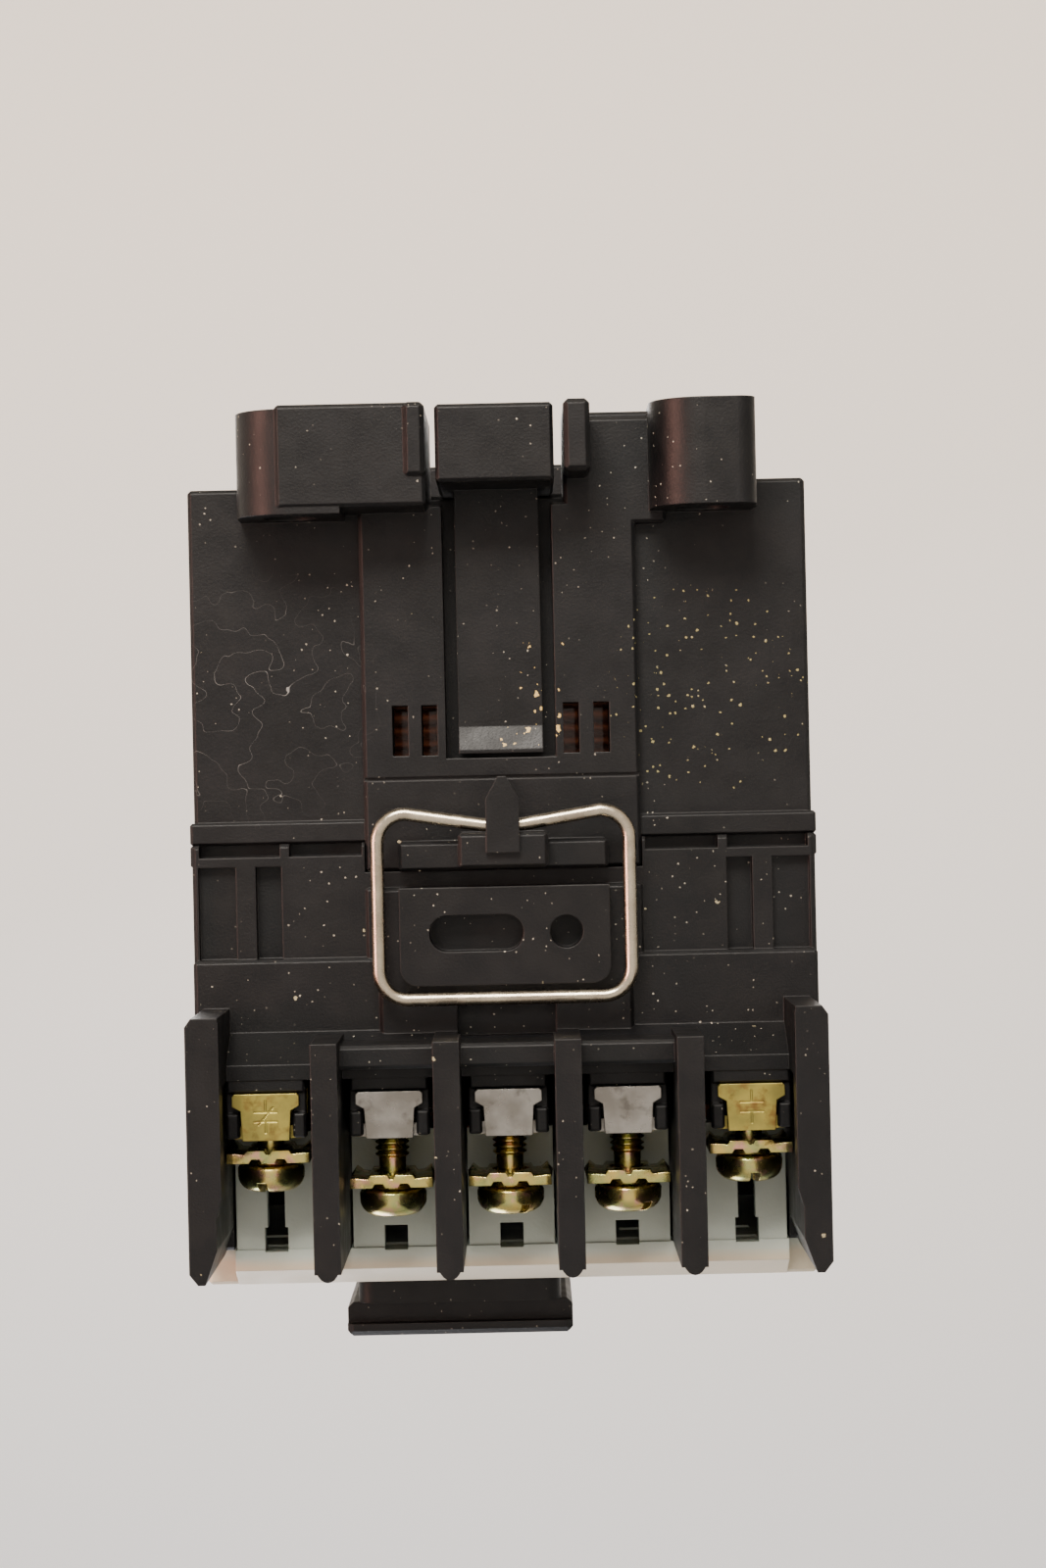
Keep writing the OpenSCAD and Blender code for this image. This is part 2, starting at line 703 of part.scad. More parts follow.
module contact_housing() color(BLACK) difference() {
    union() {
        // Walls of the magnet's front half
        cblk([-front_w / 2, front_w / 2], [split, deck_back + 1], [-front_h, front_h]);
        cblk([-ledge_w / 2, ledge_w / 2], [split, ledge_front], [-ledge_h, ledge_h], 0.2);
        cblk([-front_w / 2, front_w / 2], [pocket_front, deck_front], [-front_step_h, front_step_h]);
        cblk([-front_w / 2, front_w / 2], [deck_back - 1, cover_back], [-cover_h, cover_h]);
        // Deck that carries the terminals
        side_on([-front_w / 2 + 0.5, front_w / 2 - 0.5])
            polygon([[deck_back - 0.5, -front_step_h + 0.5], [deck_back + 2.2, -aux_shelf_h],
                [deck_front, -aux_shelf_h], [deck_front, aux_shelf_h],
                [deck_back + 2.2, aux_shelf_h], [deck_back - 0.5, front_step_h - 0.5]]);
        cblk([-1.5 * pitch - 1.3, 1.5 * pitch + 1.3], [deck_back + 0.5, deck_front - 1],
            [-shelf_h, shelf_h]);
        both_ends() {
            cblk([-column_w / 2, column_w / 2], [hook_plate_back, deck_back + 1],
                [front_h - 2, front_h + 0.6], 0.2);
            cblk([-column_w / 2 + 1, column_w / 2 - 1], [hook_plate_back, deck_back + 1],
                [front_h - 2, front_column_h]);
            hook_plate();
            for (x = BARRIERS)
                barrier(x);
            both_sides() outer_barrier();
            for (x = concat(MAINS, [-AUX_X, AUX_X]))
                pole_pad(x);
        }
        both_sides() coil_pad();
    }
    // Hollow for the armature and the carrier's foot
    blk([-inner_w / 2, inner_w / 2], [split - 1, deck_back], [-inner_h - 1.5, inner_h + 1.5]);
    // Arc chambers, one for each pole
    chamber = (pitch - barrier_t) / 2;
    for (x = MAINS)
        blk([x - chamber, x + chamber], [deck_front, cover_front], [-cover_h - 1, cover_h + 1]);
    both_sides()
        blk([bay_in, bay_x], [deck_front, cover_front], [-cover_h - 1, cover_h + 1]);
    // Well for the carrier
    blk([-well_w / 2, well_w / 2], [deck_back - 1, cover_front], [-well_h + 0.8, well_h - 0.8]);
    blk([AUX_X - 3.4, well_w / 2], [deck_back - 1, cover_front], [-bridge_h - 0.4, bridge_h + 0.4]);
    both_ends() {
        // Room for the rear housing's bail hook
        blk([-column_w / 2 - fit, column_w / 2 + fit], [split - 1, hook_bar_front + fit],
            [inner_h - 1, tip_h]);
        // Slots in the ledge
        both_sides() {
            for (x = LEDGE_SLOTS)
                blk(x, [split - 0.5, split + 1.1], [ledge_h - 1.4, ledge_h + 3]);
        }
        // Slot and hole in the hook plate, and the window below it
        hook_plate_holes();
        blk([-4.2, 4.2], [deck_back - 2.5, deck_back + 0.4], [front_column_h - 1.4, front_column_h + 3]);
        // Ways for the washers, and holes for the screws' ends
        for (x = concat(MAINS, [-AUX_X, AUX_X]))
            blk([x - washer_way / 2, x + washer_way / 2], [clamp_face, barrier_front + 1],
                [screw_h - washer_way / 2, screw_h + washer_way / 2]);
        for (x = concat(MAINS, [-AUX_X, AUX_X]))
            peg(x, screw_h, [screw_end - free, pad_front + 1], thread_r + free);
    }
    // Empty places for coil terminals at the load end
    load_end() both_sides() {
        blk(COIL_PLACES[0], [ledge_front, pocket_front], [front_h - 0.9, front_h + 1]);
        blk(COIL_PLACES[1], [ledge_front, pocket_front], [front_h - 1.4, front_h + 1]);
    }
    both_sides() {
        peg(coil_x, coil_screw_h, [split - 3, coil_clamp + 1], thread_r + free);
        blk([coil_x - coil_strip_half - play, coil_x + coil_strip_half + play],
            [coil_clamp - 0.9 - fit, coil_clamp + fit], [inner_h, front_h + 5]);
    }
}

module hook_plate_holes() {
    mid = hook_plate_back + 3.9;
    upright([plate_h - 2.4, plate_h + 1]) {
        round_rect([-1.6, 6.4], [mid - 1.55, mid + 1.55], 1.54);
        translate([-5.2, mid]) circle(1.4);
    }
}

// ---- Terminals -----------------------------------------------------------

// Outer end: an end plate in the form of a T, whose neck turns into the clamping face
module clamp_end(x) {
    upright([flange_h - plate_t, flange_h])
        polygon([[x - strip_w / 2 + 0.2, pad_front], [x + strip_w / 2 - 0.2, pad_front],
            [x + strip_w / 2, pad_front + 0.2], [x + strip_w / 2, pad_front + bar_l - 0.4],
            [x + neck_w / 2, pad_front + bar_l], [x + neck_w / 2 - 0.15, clamp_face],
            [x - neck_w / 2 + 0.15, clamp_face], [x - neck_w / 2, pad_front + bar_l],
            [x - strip_w / 2, pad_front + bar_l - 0.4], [x - strip_w / 2, pad_front + 0.2]]);
    blk([x - neck_w / 2 + 0.15, x + neck_w / 2 - 0.15], [strip_back, clamp_face],
        [flange_h - neck_l - 0.5, flange_h - plate_t / 2]);
}

// A closing contact's strip steps back behind the bridge
module closing_strip(x, w = strip_w) difference() {
    union() {
        clamp_end(x);
        blk([x - w / 2, x + w / 2], [strip_back, clamp_face], [cover_h - 3.8, flange_h - neck_l]);
        blk([x - w / 2, x + w / 2], [tongue_back, clamp_face], [cover_h - 3.8, cover_h - 2.7]);
        blk([x - w / 2, x + w / 2], [tongue_back, tongue_front], [strip_inner_h, cover_h - 2.7]);
    }
    peg(x, screw_h, [strip_back - 1, clamp_face + 1], thread_r);
}

// The opening contact's strip runs straight in, in front of the bridge
module opening_strip(x, w = strip_w) difference() {
    union() {
        clamp_end(x);
        blk([x - w / 2, x + w / 2], [strip_back, clamp_face], [strip_inner_h, flange_h - neck_l]);
        blk([x - w / 2, x + w / 2], [tongue_back, clamp_face], [cover_h - 3.8, cover_h - 2.7]);
    }
    peg(x, screw_h, [strip_back - 1, clamp_face + 1], thread_r);
}

module terminal_tips() color(SILVER) both_ends() {
    for (x = concat(MAINS, [-AUX_X]))
        peg(x, contact_h, [tongue_front, fixed_tip_front], contact_r);
    peg(AUX_X, contact_h, [opening_tip_back, strip_back], contact_r);
}

// Pan-head screw with a slot and a cross
module screw(x, h, seat) difference() {
    union() {
        peg(x, h, [seat - shank, seat + 0.5], thread_r - shaft_play);
        peg(x, h, [seat, seat + screw_head_h - 0.8], screw_head_r);
        translate([x, -(seat + screw_head_h - 0.8), h]) rotate([90, 0, 0])
            cylinder(h = 0.8, r1 = screw_head_r, r2 = screw_head_r - 0.9);
    }
    slot_floor = seat + screw_head_h - 1.2;
    blk([x - screw_head_r - 1, x + screw_head_r + 1], [slot_floor, seat + 9], [h - 0.45, h + 0.45]);
    blk([x - 0.45, x + 0.45], [slot_floor, seat + 9], [h - 1.8, h + 1.8]);
}

module washer(x, h, seat) difference() {
    cblk([x - washer_w / 2, x + washer_w / 2], [seat - washer_t, seat],
        [h - washer_w / 2, h + washer_w / 2], 0.25);
    peg(x, h, [seat - washer_t - 1, seat + 1], thread_r + 0.1);
}

// ---- Front cover and head ------------------------------------------------

// The label's range across, and half its height
LABEL_X = [-22.5, -6.5];
label_h = 12;

module skirt(x, w)
    blk([x - w / 2, x + w / 2], [clamp_face + play, cover_back + 0.5], [cover_h - 1.8, cover_h - 0.2]);

module front_cover() color(GREY) difference() {
    union() {
        side_on([-bay_x + fit, bay_x - fit])
            polygon([[cover_back, -cover_h], [cover_front - 1.6, -cover_h], [cover_front, -face_h],
                [cover_front, face_h], [cover_front - 1.6, cover_h], [cover_back, cover_h]]);
        cblk([-front_w / 2, front_w / 2], [cover_back, cover_front], [-face_h, face_h]);
        both_ends() {
            for (x = MAINS)
                skirt(x, pitch - barrier_t - 2 * play);
            both_sides() skirt((bay_x + bay_in) / 2, bay_x - bay_in - 2 * play);
        }
    }
    // The indicator's window
    blk([head_x - nose_w / 2 - free, head_x + nose_w / 2 + free], [0, head_front],
        [-nose_h / 2 - free, nose_h / 2 + free]);
    // Seat of the label
    blk(LABEL_X, [cover_front - 0.5, cover_front + 1], [-label_h, label_h]);
    both_ends() {
        // Test holes in the skirts, the outer ones long like a keyhole
        for (x = concat(MAINS, [-AUX_X, AUX_X]))
            blk([x - 1, x + 1], [cover_back - 1.9, cover_back + 0.2], [cover_h - 3, cover_h + 1]);
        for (x = [-AUX_X, AUX_X])
            blk([x - 0.75, x + 0.75], [cover_back - 5.4, cover_back - 1.5], [cover_h - 3, cover_h + 1]);
        // Air slots over the arc chambers
        for (x = [-21, -14, 18])
            blk([x, x + 4.5], [cover_back - 1, cover_front + 1], [15.5, 17]);
    }
}

module front_head() color(BLACK) difference() {
    x0 = head_x - head_w / 2;
    x1 = head_x + head_w / 2;
    union() {
        facing([cover_front, head_front - 2])
            round_rect([x0 + 1, x1 - 1], [-head_h / 2, head_h / 2], 1.5);
        cblk([x0, x1], [cover_front + 2.6, head_front], [-head_h / 2, head_h / 2], 0.5);
    }
    blk([head_x - nose_w / 2 - free, head_x + nose_w / 2 + free], [cover_front - 1, head_front + 1],
        [-nose_h / 2 - free, nose_h / 2 + free]);
    // Grooves for an add-on contact block
    both_ends()
        blk([x0 - 1, x1 + 1], [cover_front + 2.6, cover_front + 4.4], [head_h / 2 - 1.2, head_h / 2 + 1]);
    both_ends()
        blk([x0 + 3, x1 - 3], [head_front - 1, head_front + 1], [9.5, 11]);
}

module label_plate() color("white")
    cblk([LABEL_X[0] + fit, LABEL_X[1] - fit], [cover_front - 0.5, cover_front + 0.05],
        [-label_h + fit, label_h - fit], 0.1);

// ---- Wire bails ----------------------------------------------------------

// Outline of the bail's wire, across and in depth: a round-cornered loop with a dip
function corner(x, d, from) =
    [for (a = [0 : 15 : 90]) [x + bail_r * sin(from + a), d - bail_r * cos(from + a)]];

BAIL = concat(
    [[-0.8, bail_rear + bail_dip - 0.04], [0.8, bail_rear + bail_dip - 0.04]],
    corner(bail_w / 2 - bail_r, bail_rear + bail_r, 0),
    corner(bail_w / 2 - bail_r, bail_front - bail_r, 90),
    corner(-bail_w / 2 + bail_r, bail_front - bail_r, 180),
    corner(-bail_w / 2 + bail_r, bail_rear + bail_r, 270));

module bail() {
    sides = 12;
    n = len(BAIL);
    points = [for (i = [0 : n - 1], k = [0 : sides - 1])
        let (p = BAIL[i], along = BAIL[(i + 1) % n] - BAIL[(i + n - 1) % n],
             out = [along[1], -along[0]] / norm(along), b = k * 360 / sides)
        [p[0] + wire_r * cos(b) * out[0], -p[1] - wire_r * cos(b) * out[1], bail_z + wire_r * sin(b)]];
    polyhedron(points, wall_faces(n, sides, true));
}

module load_bail() color(STEEL) load_end() bail();

module line_bail() color(STEEL) bail();

base_frame();
rail_latch();
rubber_cushion();
fixed_core();
shading_rings();
core_rivets();
coil_bobbin();
coil_winding();
coil_terminals();
moving_core();
core_pin();
return_springs();
contact_carrier();
main_bridges();
aux_closing_bridge();
aux_opening_bridge();
bridge_tips();
contact_springs();
contact_housing();
color(NICKEL) closing_strip(MAINS[0]);  // line_terminal_1
color(NICKEL) closing_strip(MAINS[1]);  // line_terminal_2
color(NICKEL) closing_strip(MAINS[2]);  // line_terminal_3
color(NICKEL) load_end() closing_strip(MAINS[0]);  // load_terminal_1
color(NICKEL) load_end() closing_strip(MAINS[1]);  // load_terminal_2
color(NICKEL) load_end() closing_strip(MAINS[2]);  // load_terminal_3
color(BRASS) closing_strip(-AUX_X);  // line_aux_terminal_left
color(BRASS) opening_strip(AUX_X);  // line_aux_terminal_right
color(BRASS) load_end() closing_strip(-AUX_X);  // load_aux_terminal_left
color(BRASS) load_end() opening_strip(AUX_X);  // load_aux_terminal_right
terminal_tips();
color(ZINC) screw(MAINS[0], screw_h, main_seat);  // line_screw_1
color(ZINC) screw(MAINS[1], screw_h, main_seat);  // line_screw_2
color(ZINC) screw(MAINS[2], screw_h, main_seat);  // line_screw_3
color(ZINC) load_end() screw(MAINS[0], screw_h, main_seat);  // load_screw_1
color(ZINC) load_end() screw(MAINS[1], screw_h, main_seat);  // load_screw_2
color(ZINC) load_end() screw(MAINS[2], screw_h, main_seat);  // load_screw_3
color(ZINC) screw(-AUX_X, screw_h, aux_seat);  // line_aux_screw_left
color(ZINC) screw(AUX_X, screw_h, aux_seat);  // line_aux_screw_right
color(ZINC) load_end() screw(-AUX_X, screw_h, aux_seat);  // load_aux_screw_left
color(ZINC) load_end() screw(AUX_X, screw_h, aux_seat);  // load_aux_screw_right
color(ZINC) screw(-coil_x, coil_screw_h, coil_seat);  // coil_screw_left
color(ZINC) screw(coil_x, coil_screw_h, coil_seat);  // coil_screw_right
color(ZINC) washer(MAINS[0], screw_h, main_seat);  // washer_line_1
color(ZINC) washer(MAINS[1], screw_h, main_seat);  // washer_line_2
color(ZINC) washer(MAINS[2], screw_h, main_seat);  // washer_line_3
color(ZINC) load_end() washer(MAINS[0], screw_h, main_seat);  // washer_load_1
color(ZINC) load_end() washer(MAINS[1], screw_h, main_seat);  // washer_load_2
color(ZINC) load_end() washer(MAINS[2], screw_h, main_seat);  // washer_load_3
color(ZINC) washer(-AUX_X, screw_h, aux_seat);  // washer_line_aux_left
color(ZINC) washer(AUX_X, screw_h, aux_seat);  // washer_line_aux_right
color(ZINC) load_end() washer(-AUX_X, screw_h, aux_seat);  // washer_load_aux_left
color(ZINC) load_end() washer(AUX_X, screw_h, aux_seat);  // washer_load_aux_right
color(ZINC) washer(-coil_x, coil_screw_h, coil_seat);  // washer_coil_left
color(ZINC) washer(coil_x, coil_screw_h, coil_seat);  // washer_coil_right
front_cover();
front_head();
label_plate();
load_bail();
line_bail();
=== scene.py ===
# %% [markdown]
# # A three-pole contactor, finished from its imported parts
# A contactor is an electric switch that a magnet pulls shut. This one clips on a rail: two black
# housings hold the magnet and the contacts, a grey cover closes the front, and two rows of screws
# clamp the wires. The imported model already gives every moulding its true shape, so the script only
# adds what a mould drawing leaves out: threads, formed washers, bent wire, springs and finishes.

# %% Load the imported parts
import bpy
import json
import math
from mathutils import Matrix, Vector


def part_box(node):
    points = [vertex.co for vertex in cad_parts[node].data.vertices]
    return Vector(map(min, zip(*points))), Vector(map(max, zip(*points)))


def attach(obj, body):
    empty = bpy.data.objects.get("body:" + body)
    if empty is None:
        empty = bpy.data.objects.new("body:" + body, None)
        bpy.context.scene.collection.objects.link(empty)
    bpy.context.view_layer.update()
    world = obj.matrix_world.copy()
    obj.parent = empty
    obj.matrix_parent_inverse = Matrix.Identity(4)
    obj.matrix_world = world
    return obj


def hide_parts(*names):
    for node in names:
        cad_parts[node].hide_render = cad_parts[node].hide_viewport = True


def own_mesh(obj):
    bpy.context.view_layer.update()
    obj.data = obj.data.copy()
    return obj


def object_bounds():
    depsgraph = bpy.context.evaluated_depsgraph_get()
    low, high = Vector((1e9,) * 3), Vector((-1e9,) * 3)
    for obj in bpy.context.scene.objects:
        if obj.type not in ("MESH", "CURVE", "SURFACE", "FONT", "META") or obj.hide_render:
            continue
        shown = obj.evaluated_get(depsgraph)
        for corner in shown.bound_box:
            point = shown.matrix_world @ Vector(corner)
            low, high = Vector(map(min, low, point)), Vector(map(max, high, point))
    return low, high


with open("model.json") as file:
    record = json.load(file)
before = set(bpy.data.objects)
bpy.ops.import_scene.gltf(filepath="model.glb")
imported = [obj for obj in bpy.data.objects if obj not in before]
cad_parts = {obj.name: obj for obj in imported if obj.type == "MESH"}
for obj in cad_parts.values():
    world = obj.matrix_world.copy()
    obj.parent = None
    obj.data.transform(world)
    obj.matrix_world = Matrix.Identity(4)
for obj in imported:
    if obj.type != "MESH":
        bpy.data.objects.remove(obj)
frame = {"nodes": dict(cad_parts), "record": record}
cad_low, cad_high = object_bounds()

MM = 0.001
nodes = frame["nodes"]
slot_of = {part["node"]: part["material_slot"] for part in frame["record"]["subparts"]}
body_of = {node: body for body, members in frame["record"]["behaviour"]["bodies"].items()
           for node in members}
print("parts:", len(nodes), "size in mm:", [round(v / MM, 1) for v in cad_high - cad_low])

# %% [markdown]
# ## The camera
# The camera looks straight at the load end, where the wires leave, with the rear of the contactor
# at the top. So it hangs below the part and looks up along Z with +Y as its up direction. It stands
# a short way off, because a close camera makes the near barriers larger than the mouldings behind
# them. The lens follows from how much height the frame should show, and a tip of a degree and a
# bit keeps the view from looking stiff.

# %% Camera
SENSOR = 36.0
DISTANCE = 260 * MM
VIEW_HEIGHT = 128 * MM
TILT = math.radians(-1.25)
AIM = Vector((-1.8, -32.0)) * MM

camera_data = bpy.data.cameras.new("camera")
camera = bpy.data.objects.new("camera", camera_data)
bpy.context.scene.collection.objects.link(camera)
bpy.context.scene.camera = camera
camera_data.sensor_width = SENSOR
camera_data.lens = SENSOR * DISTANCE / VIEW_HEIGHT
camera_data.clip_start = 0.01
camera_data.clip_end = 20
camera.location = (AIM.x, AIM.y, cad_low.z - DISTANCE)
look_up = Matrix(((-1, 0, 0), (0, 1, 0), (0, 0, -1)))
camera.rotation_mode = "QUATERNION"
camera.rotation_quaternion = (look_up @ Matrix.Rotation(TILT, 3, "Z")).to_quaternion()
print("lens in mm:", round(camera_data.lens, 1))

# %% [markdown]
# ## Colours and nodes
# Paint charts and screens give colours as sRGB hex values, but a shader adds light and needs linear
# numbers, so one function turns one into the other. One more function adds a node with its settings
# and its links, so that each finish below reads as a list of what it is made of.

# %% Colour and node helpers
def linear(hex_text):
    """sRGB hex, such as "c8b678", as a linear RGBA colour."""
    values = [int(hex_text[i:i + 2], 16) / 255 for i in (0, 2, 4)]
    return (*[v / 12.92 if v <= 0.04045 else ((v + 0.055) / 1.055) ** 2.4 for v in values], 1.0)


def add_node(material, kind, settings=None, links=None):
    """A node of this kind. A setting is an input, by name or number, or one of its options."""
    node = material.node_tree.nodes.new("ShaderNode" + kind)
    for name, value in (settings or {}).items():
        if isinstance(name, str) and hasattr(node, name):
            setattr(node, name, value)
        else:
            node.inputs[name].default_value = value
    for name, socket in (links or {}).items():
        material.node_tree.links.new(socket, node.inputs[name])
    return node


def new_material(name, **settings):
    """A material with one Principled shader, whose sockets take the settings. Returns both."""
    material = bpy.data.materials.new(name)
    material.use_nodes = True
    shader = material.node_tree.nodes["Principled BSDF"]
    for socket, value in settings.items():
        shader.inputs[socket.replace("_", " ")].default_value = value
    return material, shader


def per_mm(size):
    """The scale of a texture whose features are this many millimetres across."""
    return 1 / (size * MM)


# %% [markdown]
# ## Building blocks of a finish
# Real surfaces repeat a few effects: cloudy variation, fine grain, scattered specks, rounded edges
# and edges made lighter, partly as wear and partly as a painted highlight. Each is a short function
# that returns a socket with a value from 0 to 1.

# %% Shared effects
def place(material):
    """Where a point is on the part, in metres, so a pattern keeps its real size."""
    return add_node(material, "TexCoord").outputs["Object"]


def cloud(material, size, low=0.0, high=1.0, detail=3.0):
    """Soft cloudy variation with lumps of a size in mm, stretched from low..high to 0..1."""
    noise = add_node(material, "TexNoise", {"Scale": per_mm(size), "Detail": detail},
                     {"Vector": place(material)})
    return add_node(material, "MapRange", {"From Min": low, "From Max": high},
                    {"Value": noise.outputs["Fac"]}).outputs[0]


def maths(material, operation, first, second):
    """One sum on two values; each may be a socket or a number."""
    values = {0: first, 1: second}
    numbers = {key: value for key, value in values.items() if isinstance(value, (int, float))}
    sockets = {key: value for key, value in values.items() if key not in numbers}
    return add_node(material, "Math", {"operation": operation, **numbers}, sockets).outputs[0]


def mixed(material, share, first, second):
    """First colour where share is 0, second where it is 1; a colour may be a socket."""
    node = add_node(material, "Mix", {"data_type": "RGBA"})
    for number, value in ((0, share), (6, first), (7, second)):
        if hasattr(value, "links"):
            material.node_tree.links.new(value, node.inputs[number])
        else:
            node.inputs[number].default_value = value
    return node.outputs[2]


def specks(material, spacing, radius, share):
    """Uneven specks of up to a radius in mm, one in a share of the cells of a loose grid."""
    ragged = add_node(material, "TexNoise", {"Scale": per_mm(radius * 1.2), "Detail": 1.0},
                      {"Vector": place(material)})
    shift = add_node(material, "VectorMath", {"operation": "MULTIPLY_ADD", 1: [radius * 1.6 * MM] * 3},
                     {0: ragged.outputs["Color"], 2: place(material)}).outputs["Vector"]
    cells = add_node(material, "TexVoronoi", {"Scale": per_mm(spacing)}, {"Vector": shift})
    draw = add_node(material, "SeparateColor", links={"Color": cells.outputs["Color"]})
    reach = maths(material, "MULTIPLY", draw.outputs[1], radius / spacing)
    near = maths(material, "LESS_THAN", cells.outputs["Distance"], reach)
    return maths(material, "MULTIPLY", near, maths(material, "LESS_THAN", draw.outputs[0], share))


def fibres(material, size, width):
    """Thin wandering lines, which are level lines of a cloud."""
    noise = add_node(material, "TexNoise", {"Scale": per_mm(size), "Detail": 1.0},
                     {"Vector": place(material)})
    off = maths(material, "ABSOLUTE", maths(material, "SUBTRACT", noise.outputs["Fac"], 0.5), 0.0)
    return maths(material, "LESS_THAN", off, width)


def near_place(material, centre, reach):
    """1 at a place on the part, given in mm, fading to 0 at a reach in mm."""
    gap = add_node(material, "VectorMath", {"operation": "DISTANCE", 1: [c * MM for c in centre]},
                   {0: place(material)})
    return add_node(material, "MapRange", {"From Min": reach * MM, "From Max": 0.0},
                    {"Value": gap.outputs["Value"]}).outputs[0]


def worn_and_highlit_edges(material, radius):
    """1 on outer and inner edges, where a rounded normal leaves the true one: wear and painted highlight.
    """
    soft = add_node(material, "Bevel", {"samples": 6, "Radius": radius * MM}).outputs[0]
    true = add_node(material, "NewGeometry").outputs["Normal"]
    same = add_node(material, "VectorMath", {"operation": "DOT_PRODUCT"},
                    {0: soft, 1: true}).outputs["Value"]
    return add_node(material, "MapRange", {"From Min": 0.97, "From Max": 0.75},
                    {"Value": same}).outputs[0]


def surface(material, shader, heights, edge):
    """Edges rounded to a radius in mm, then bumps: pairs of a height socket and its depth in mm."""
    normal = add_node(material, "Bevel", {"samples": 6, "Radius": edge * MM}).outputs[0]
    for height, depth in heights:
        bump = add_node(material, "Bump", {"Distance": depth * MM, "Strength": 1.0},
                        {"Height": height, "Normal": normal})
        normal = bump.outputs[0]
    material.node_tree.links.new(normal, shader.inputs["Normal"])


finishes = {}

# %% [markdown]
# ## Black mouldings
# Both housings, the head and the latch are moulded from black glass-filled polyamide. The mould's
# spark-eroded texture leaves a fine dull grain, and years in a cabinet leave a thin dust film,
# pale specks, lint and, around the latch, yellowish crumbs. Painting dust by hand would not follow the
# part, so noise at real sizes places it: the film in clouds of a few millimetres, specks of a tenth
# of a millimetre, and lint as the level lines of a cloud.

# %% Moulded black polyamide
def black_polyamide(name, body_colour, dirt):
    """Places are in mm. dirt is 1 on the housings and less on pieces that are covered."""
    material, shader = new_material(name, IOR=1.5, Specular_IOR_Level=0.22)
    tone = mixed(material, cloud(material, 7, 0.35, 0.7), linear(body_colour), linear("0a0a0c"))
    # Edges are painted lighter, partly as wear and partly as a painted highlight.
    edges = worn_and_highlit_edges(material, 0.22)
    tone = mixed(material, maths(material, "MULTIPLY", edges, 0.18), tone, linear("4a4644"))
    film = maths(material, "MULTIPLY", cloud(material, 3.5, 0.42, 0.8, 6.0), 0.012 * dirt)
    tone = mixed(material, film, tone, linear("7d7468"))
    patches = cloud(material, 9, 0.42, 0.62)
    dust = maths(material, "MULTIPLY", specks(material, 0.5, 0.09, 0.4 * dirt), patches)
    grit = maths(material, "MULTIPLY", specks(material, 1.5, 0.2, 0.14 * dirt),
                 cloud(material, 6, 0.45, 0.6))
    tone = mixed(material, maths(material, "MULTIPLY", dust, 0.65), tone, linear("b9b2a2"))
    tone = mixed(material, maths(material, "MULTIPLY", grit, 0.8), tone, linear("a89f80"))
    heap = maths(material, "ADD", near_place(material, (-3.2, -22, -28), 4),
                 near_place(material, (-2.6, -27, -28), 4))
    heap = maths(material, "MULTIPLY", heap, cloud(material, 1.8, 0.4, 0.6))
    crumbs = maths(material, "MULTIPLY", specks(material, 0.6, 0.3, 0.6), heap)
    crumbs = maths(material, "GREATER_THAN", crumbs, 0.25)
    tone = mixed(material, crumbs, tone, linear("b39a62"))
    powder = maths(material, "MULTIPLY", specks(material, 0.5, 0.13, 0.5),
                   near_place(material, (-18, -24, -27), 13))
    powder = maths(material, "GREATER_THAN", powder, 0.3 / max(dirt, 0.3))
    tone = mixed(material, maths(material, "MULTIPLY", powder, 0.55), tone, linear("a59a68"))
    lint_area = maths(material, "MULTIPLY", near_place(material, (21, -24, -27), 12), 1.6)
    lint = maths(material, "MULTIPLY", fibres(material, 2.6, 0.0012), lint_area)
    lint = maths(material, "MULTIPLY", lint, 0.22 * dirt)
    tone = mixed(material, lint, tone, linear("c9c6c0"))
    rough = add_node(material, "MapRange", {"To Min": 0.38, "To Max": 0.5},
                     {"Value": cloud(material, 2.5, 0.3, 0.7)})
    material.node_tree.links.new(tone, shader.inputs["Base Color"])
    material.node_tree.links.new(rough.outputs[0], shader.inputs["Roughness"])
    # Real spark texture is about 0.05 mm; 0.22 mm is as fine as still shows
    spark_texture = cloud(material, 0.22, 0.2, 0.8, 2.0)
    surface(material, shader, [(spark_texture, 0.012), (dust, 0.02), (grit, 0.05)], 0.16)
    return material


finishes["black_plastic"] = black_polyamide("moulded_black_polyamide", "070708", 1.0)
finishes["carrier_plastic"] = black_polyamide("moulded_black_phenolic", "17171a", 0.25)

# %% [markdown]
# ## Grey cover and other plastics
# The cover is light grey polyamide with a satin face. Its front is painted warmer by depth, as painted
# warm light falling on it. The coil's bobbin is natural nylon, and the cushion behind the magnet is
# black rubber.

# %% Moulded grey polyamide and the small plastics
def grey_polyamide(name, clean, warm_lit, front):
    """warm_lit takes over in front of a depth, in metres along -Y, as painted warm light."""
    material, shader = new_material(name, IOR=1.5, Subsurface_Weight=0.03, Subsurface_Scale=0.4 * MM)
    depth = add_node(material, "SeparateXYZ", links={"Vector": place(material)}).outputs["Y"]
    # Painted warm light: the tone turns warmer in front of the given depth.
    warm_light_share = add_node(material, "MapRange", {"From Min": front + 0.5 * MM, "From Max": front - 0.3 * MM},
                    {"Value": depth})
    tone = mixed(material, warm_light_share.outputs[0], linear(clean), linear(warm_lit))
    grime = maths(material, "MULTIPLY", cloud(material, 4, 0.4, 0.8, 5.0), 0.25)
    tone = mixed(material, grime, tone, linear("8f8c7e"))
    dust = specks(material, 1.4, 0.08, 0.25)
    tone = mixed(material, maths(material, "MULTIPLY", dust, 0.6), tone, linear("5c574c"))
    rough = add_node(material, "MapRange", {"To Min": 0.42, "To Max": 0.6},
                     {"Value": cloud(material, 3, 0.3, 0.7)})
    material.node_tree.links.new(tone, shader.inputs["Base Color"])
    material.node_tree.links.new(rough.outputs[0], shader.inputs["Roughness"])
    surface(material, shader, [(cloud(material, 0.3, 0.2, 0.8, 2.0), 0.01)], 0.15)
    return material


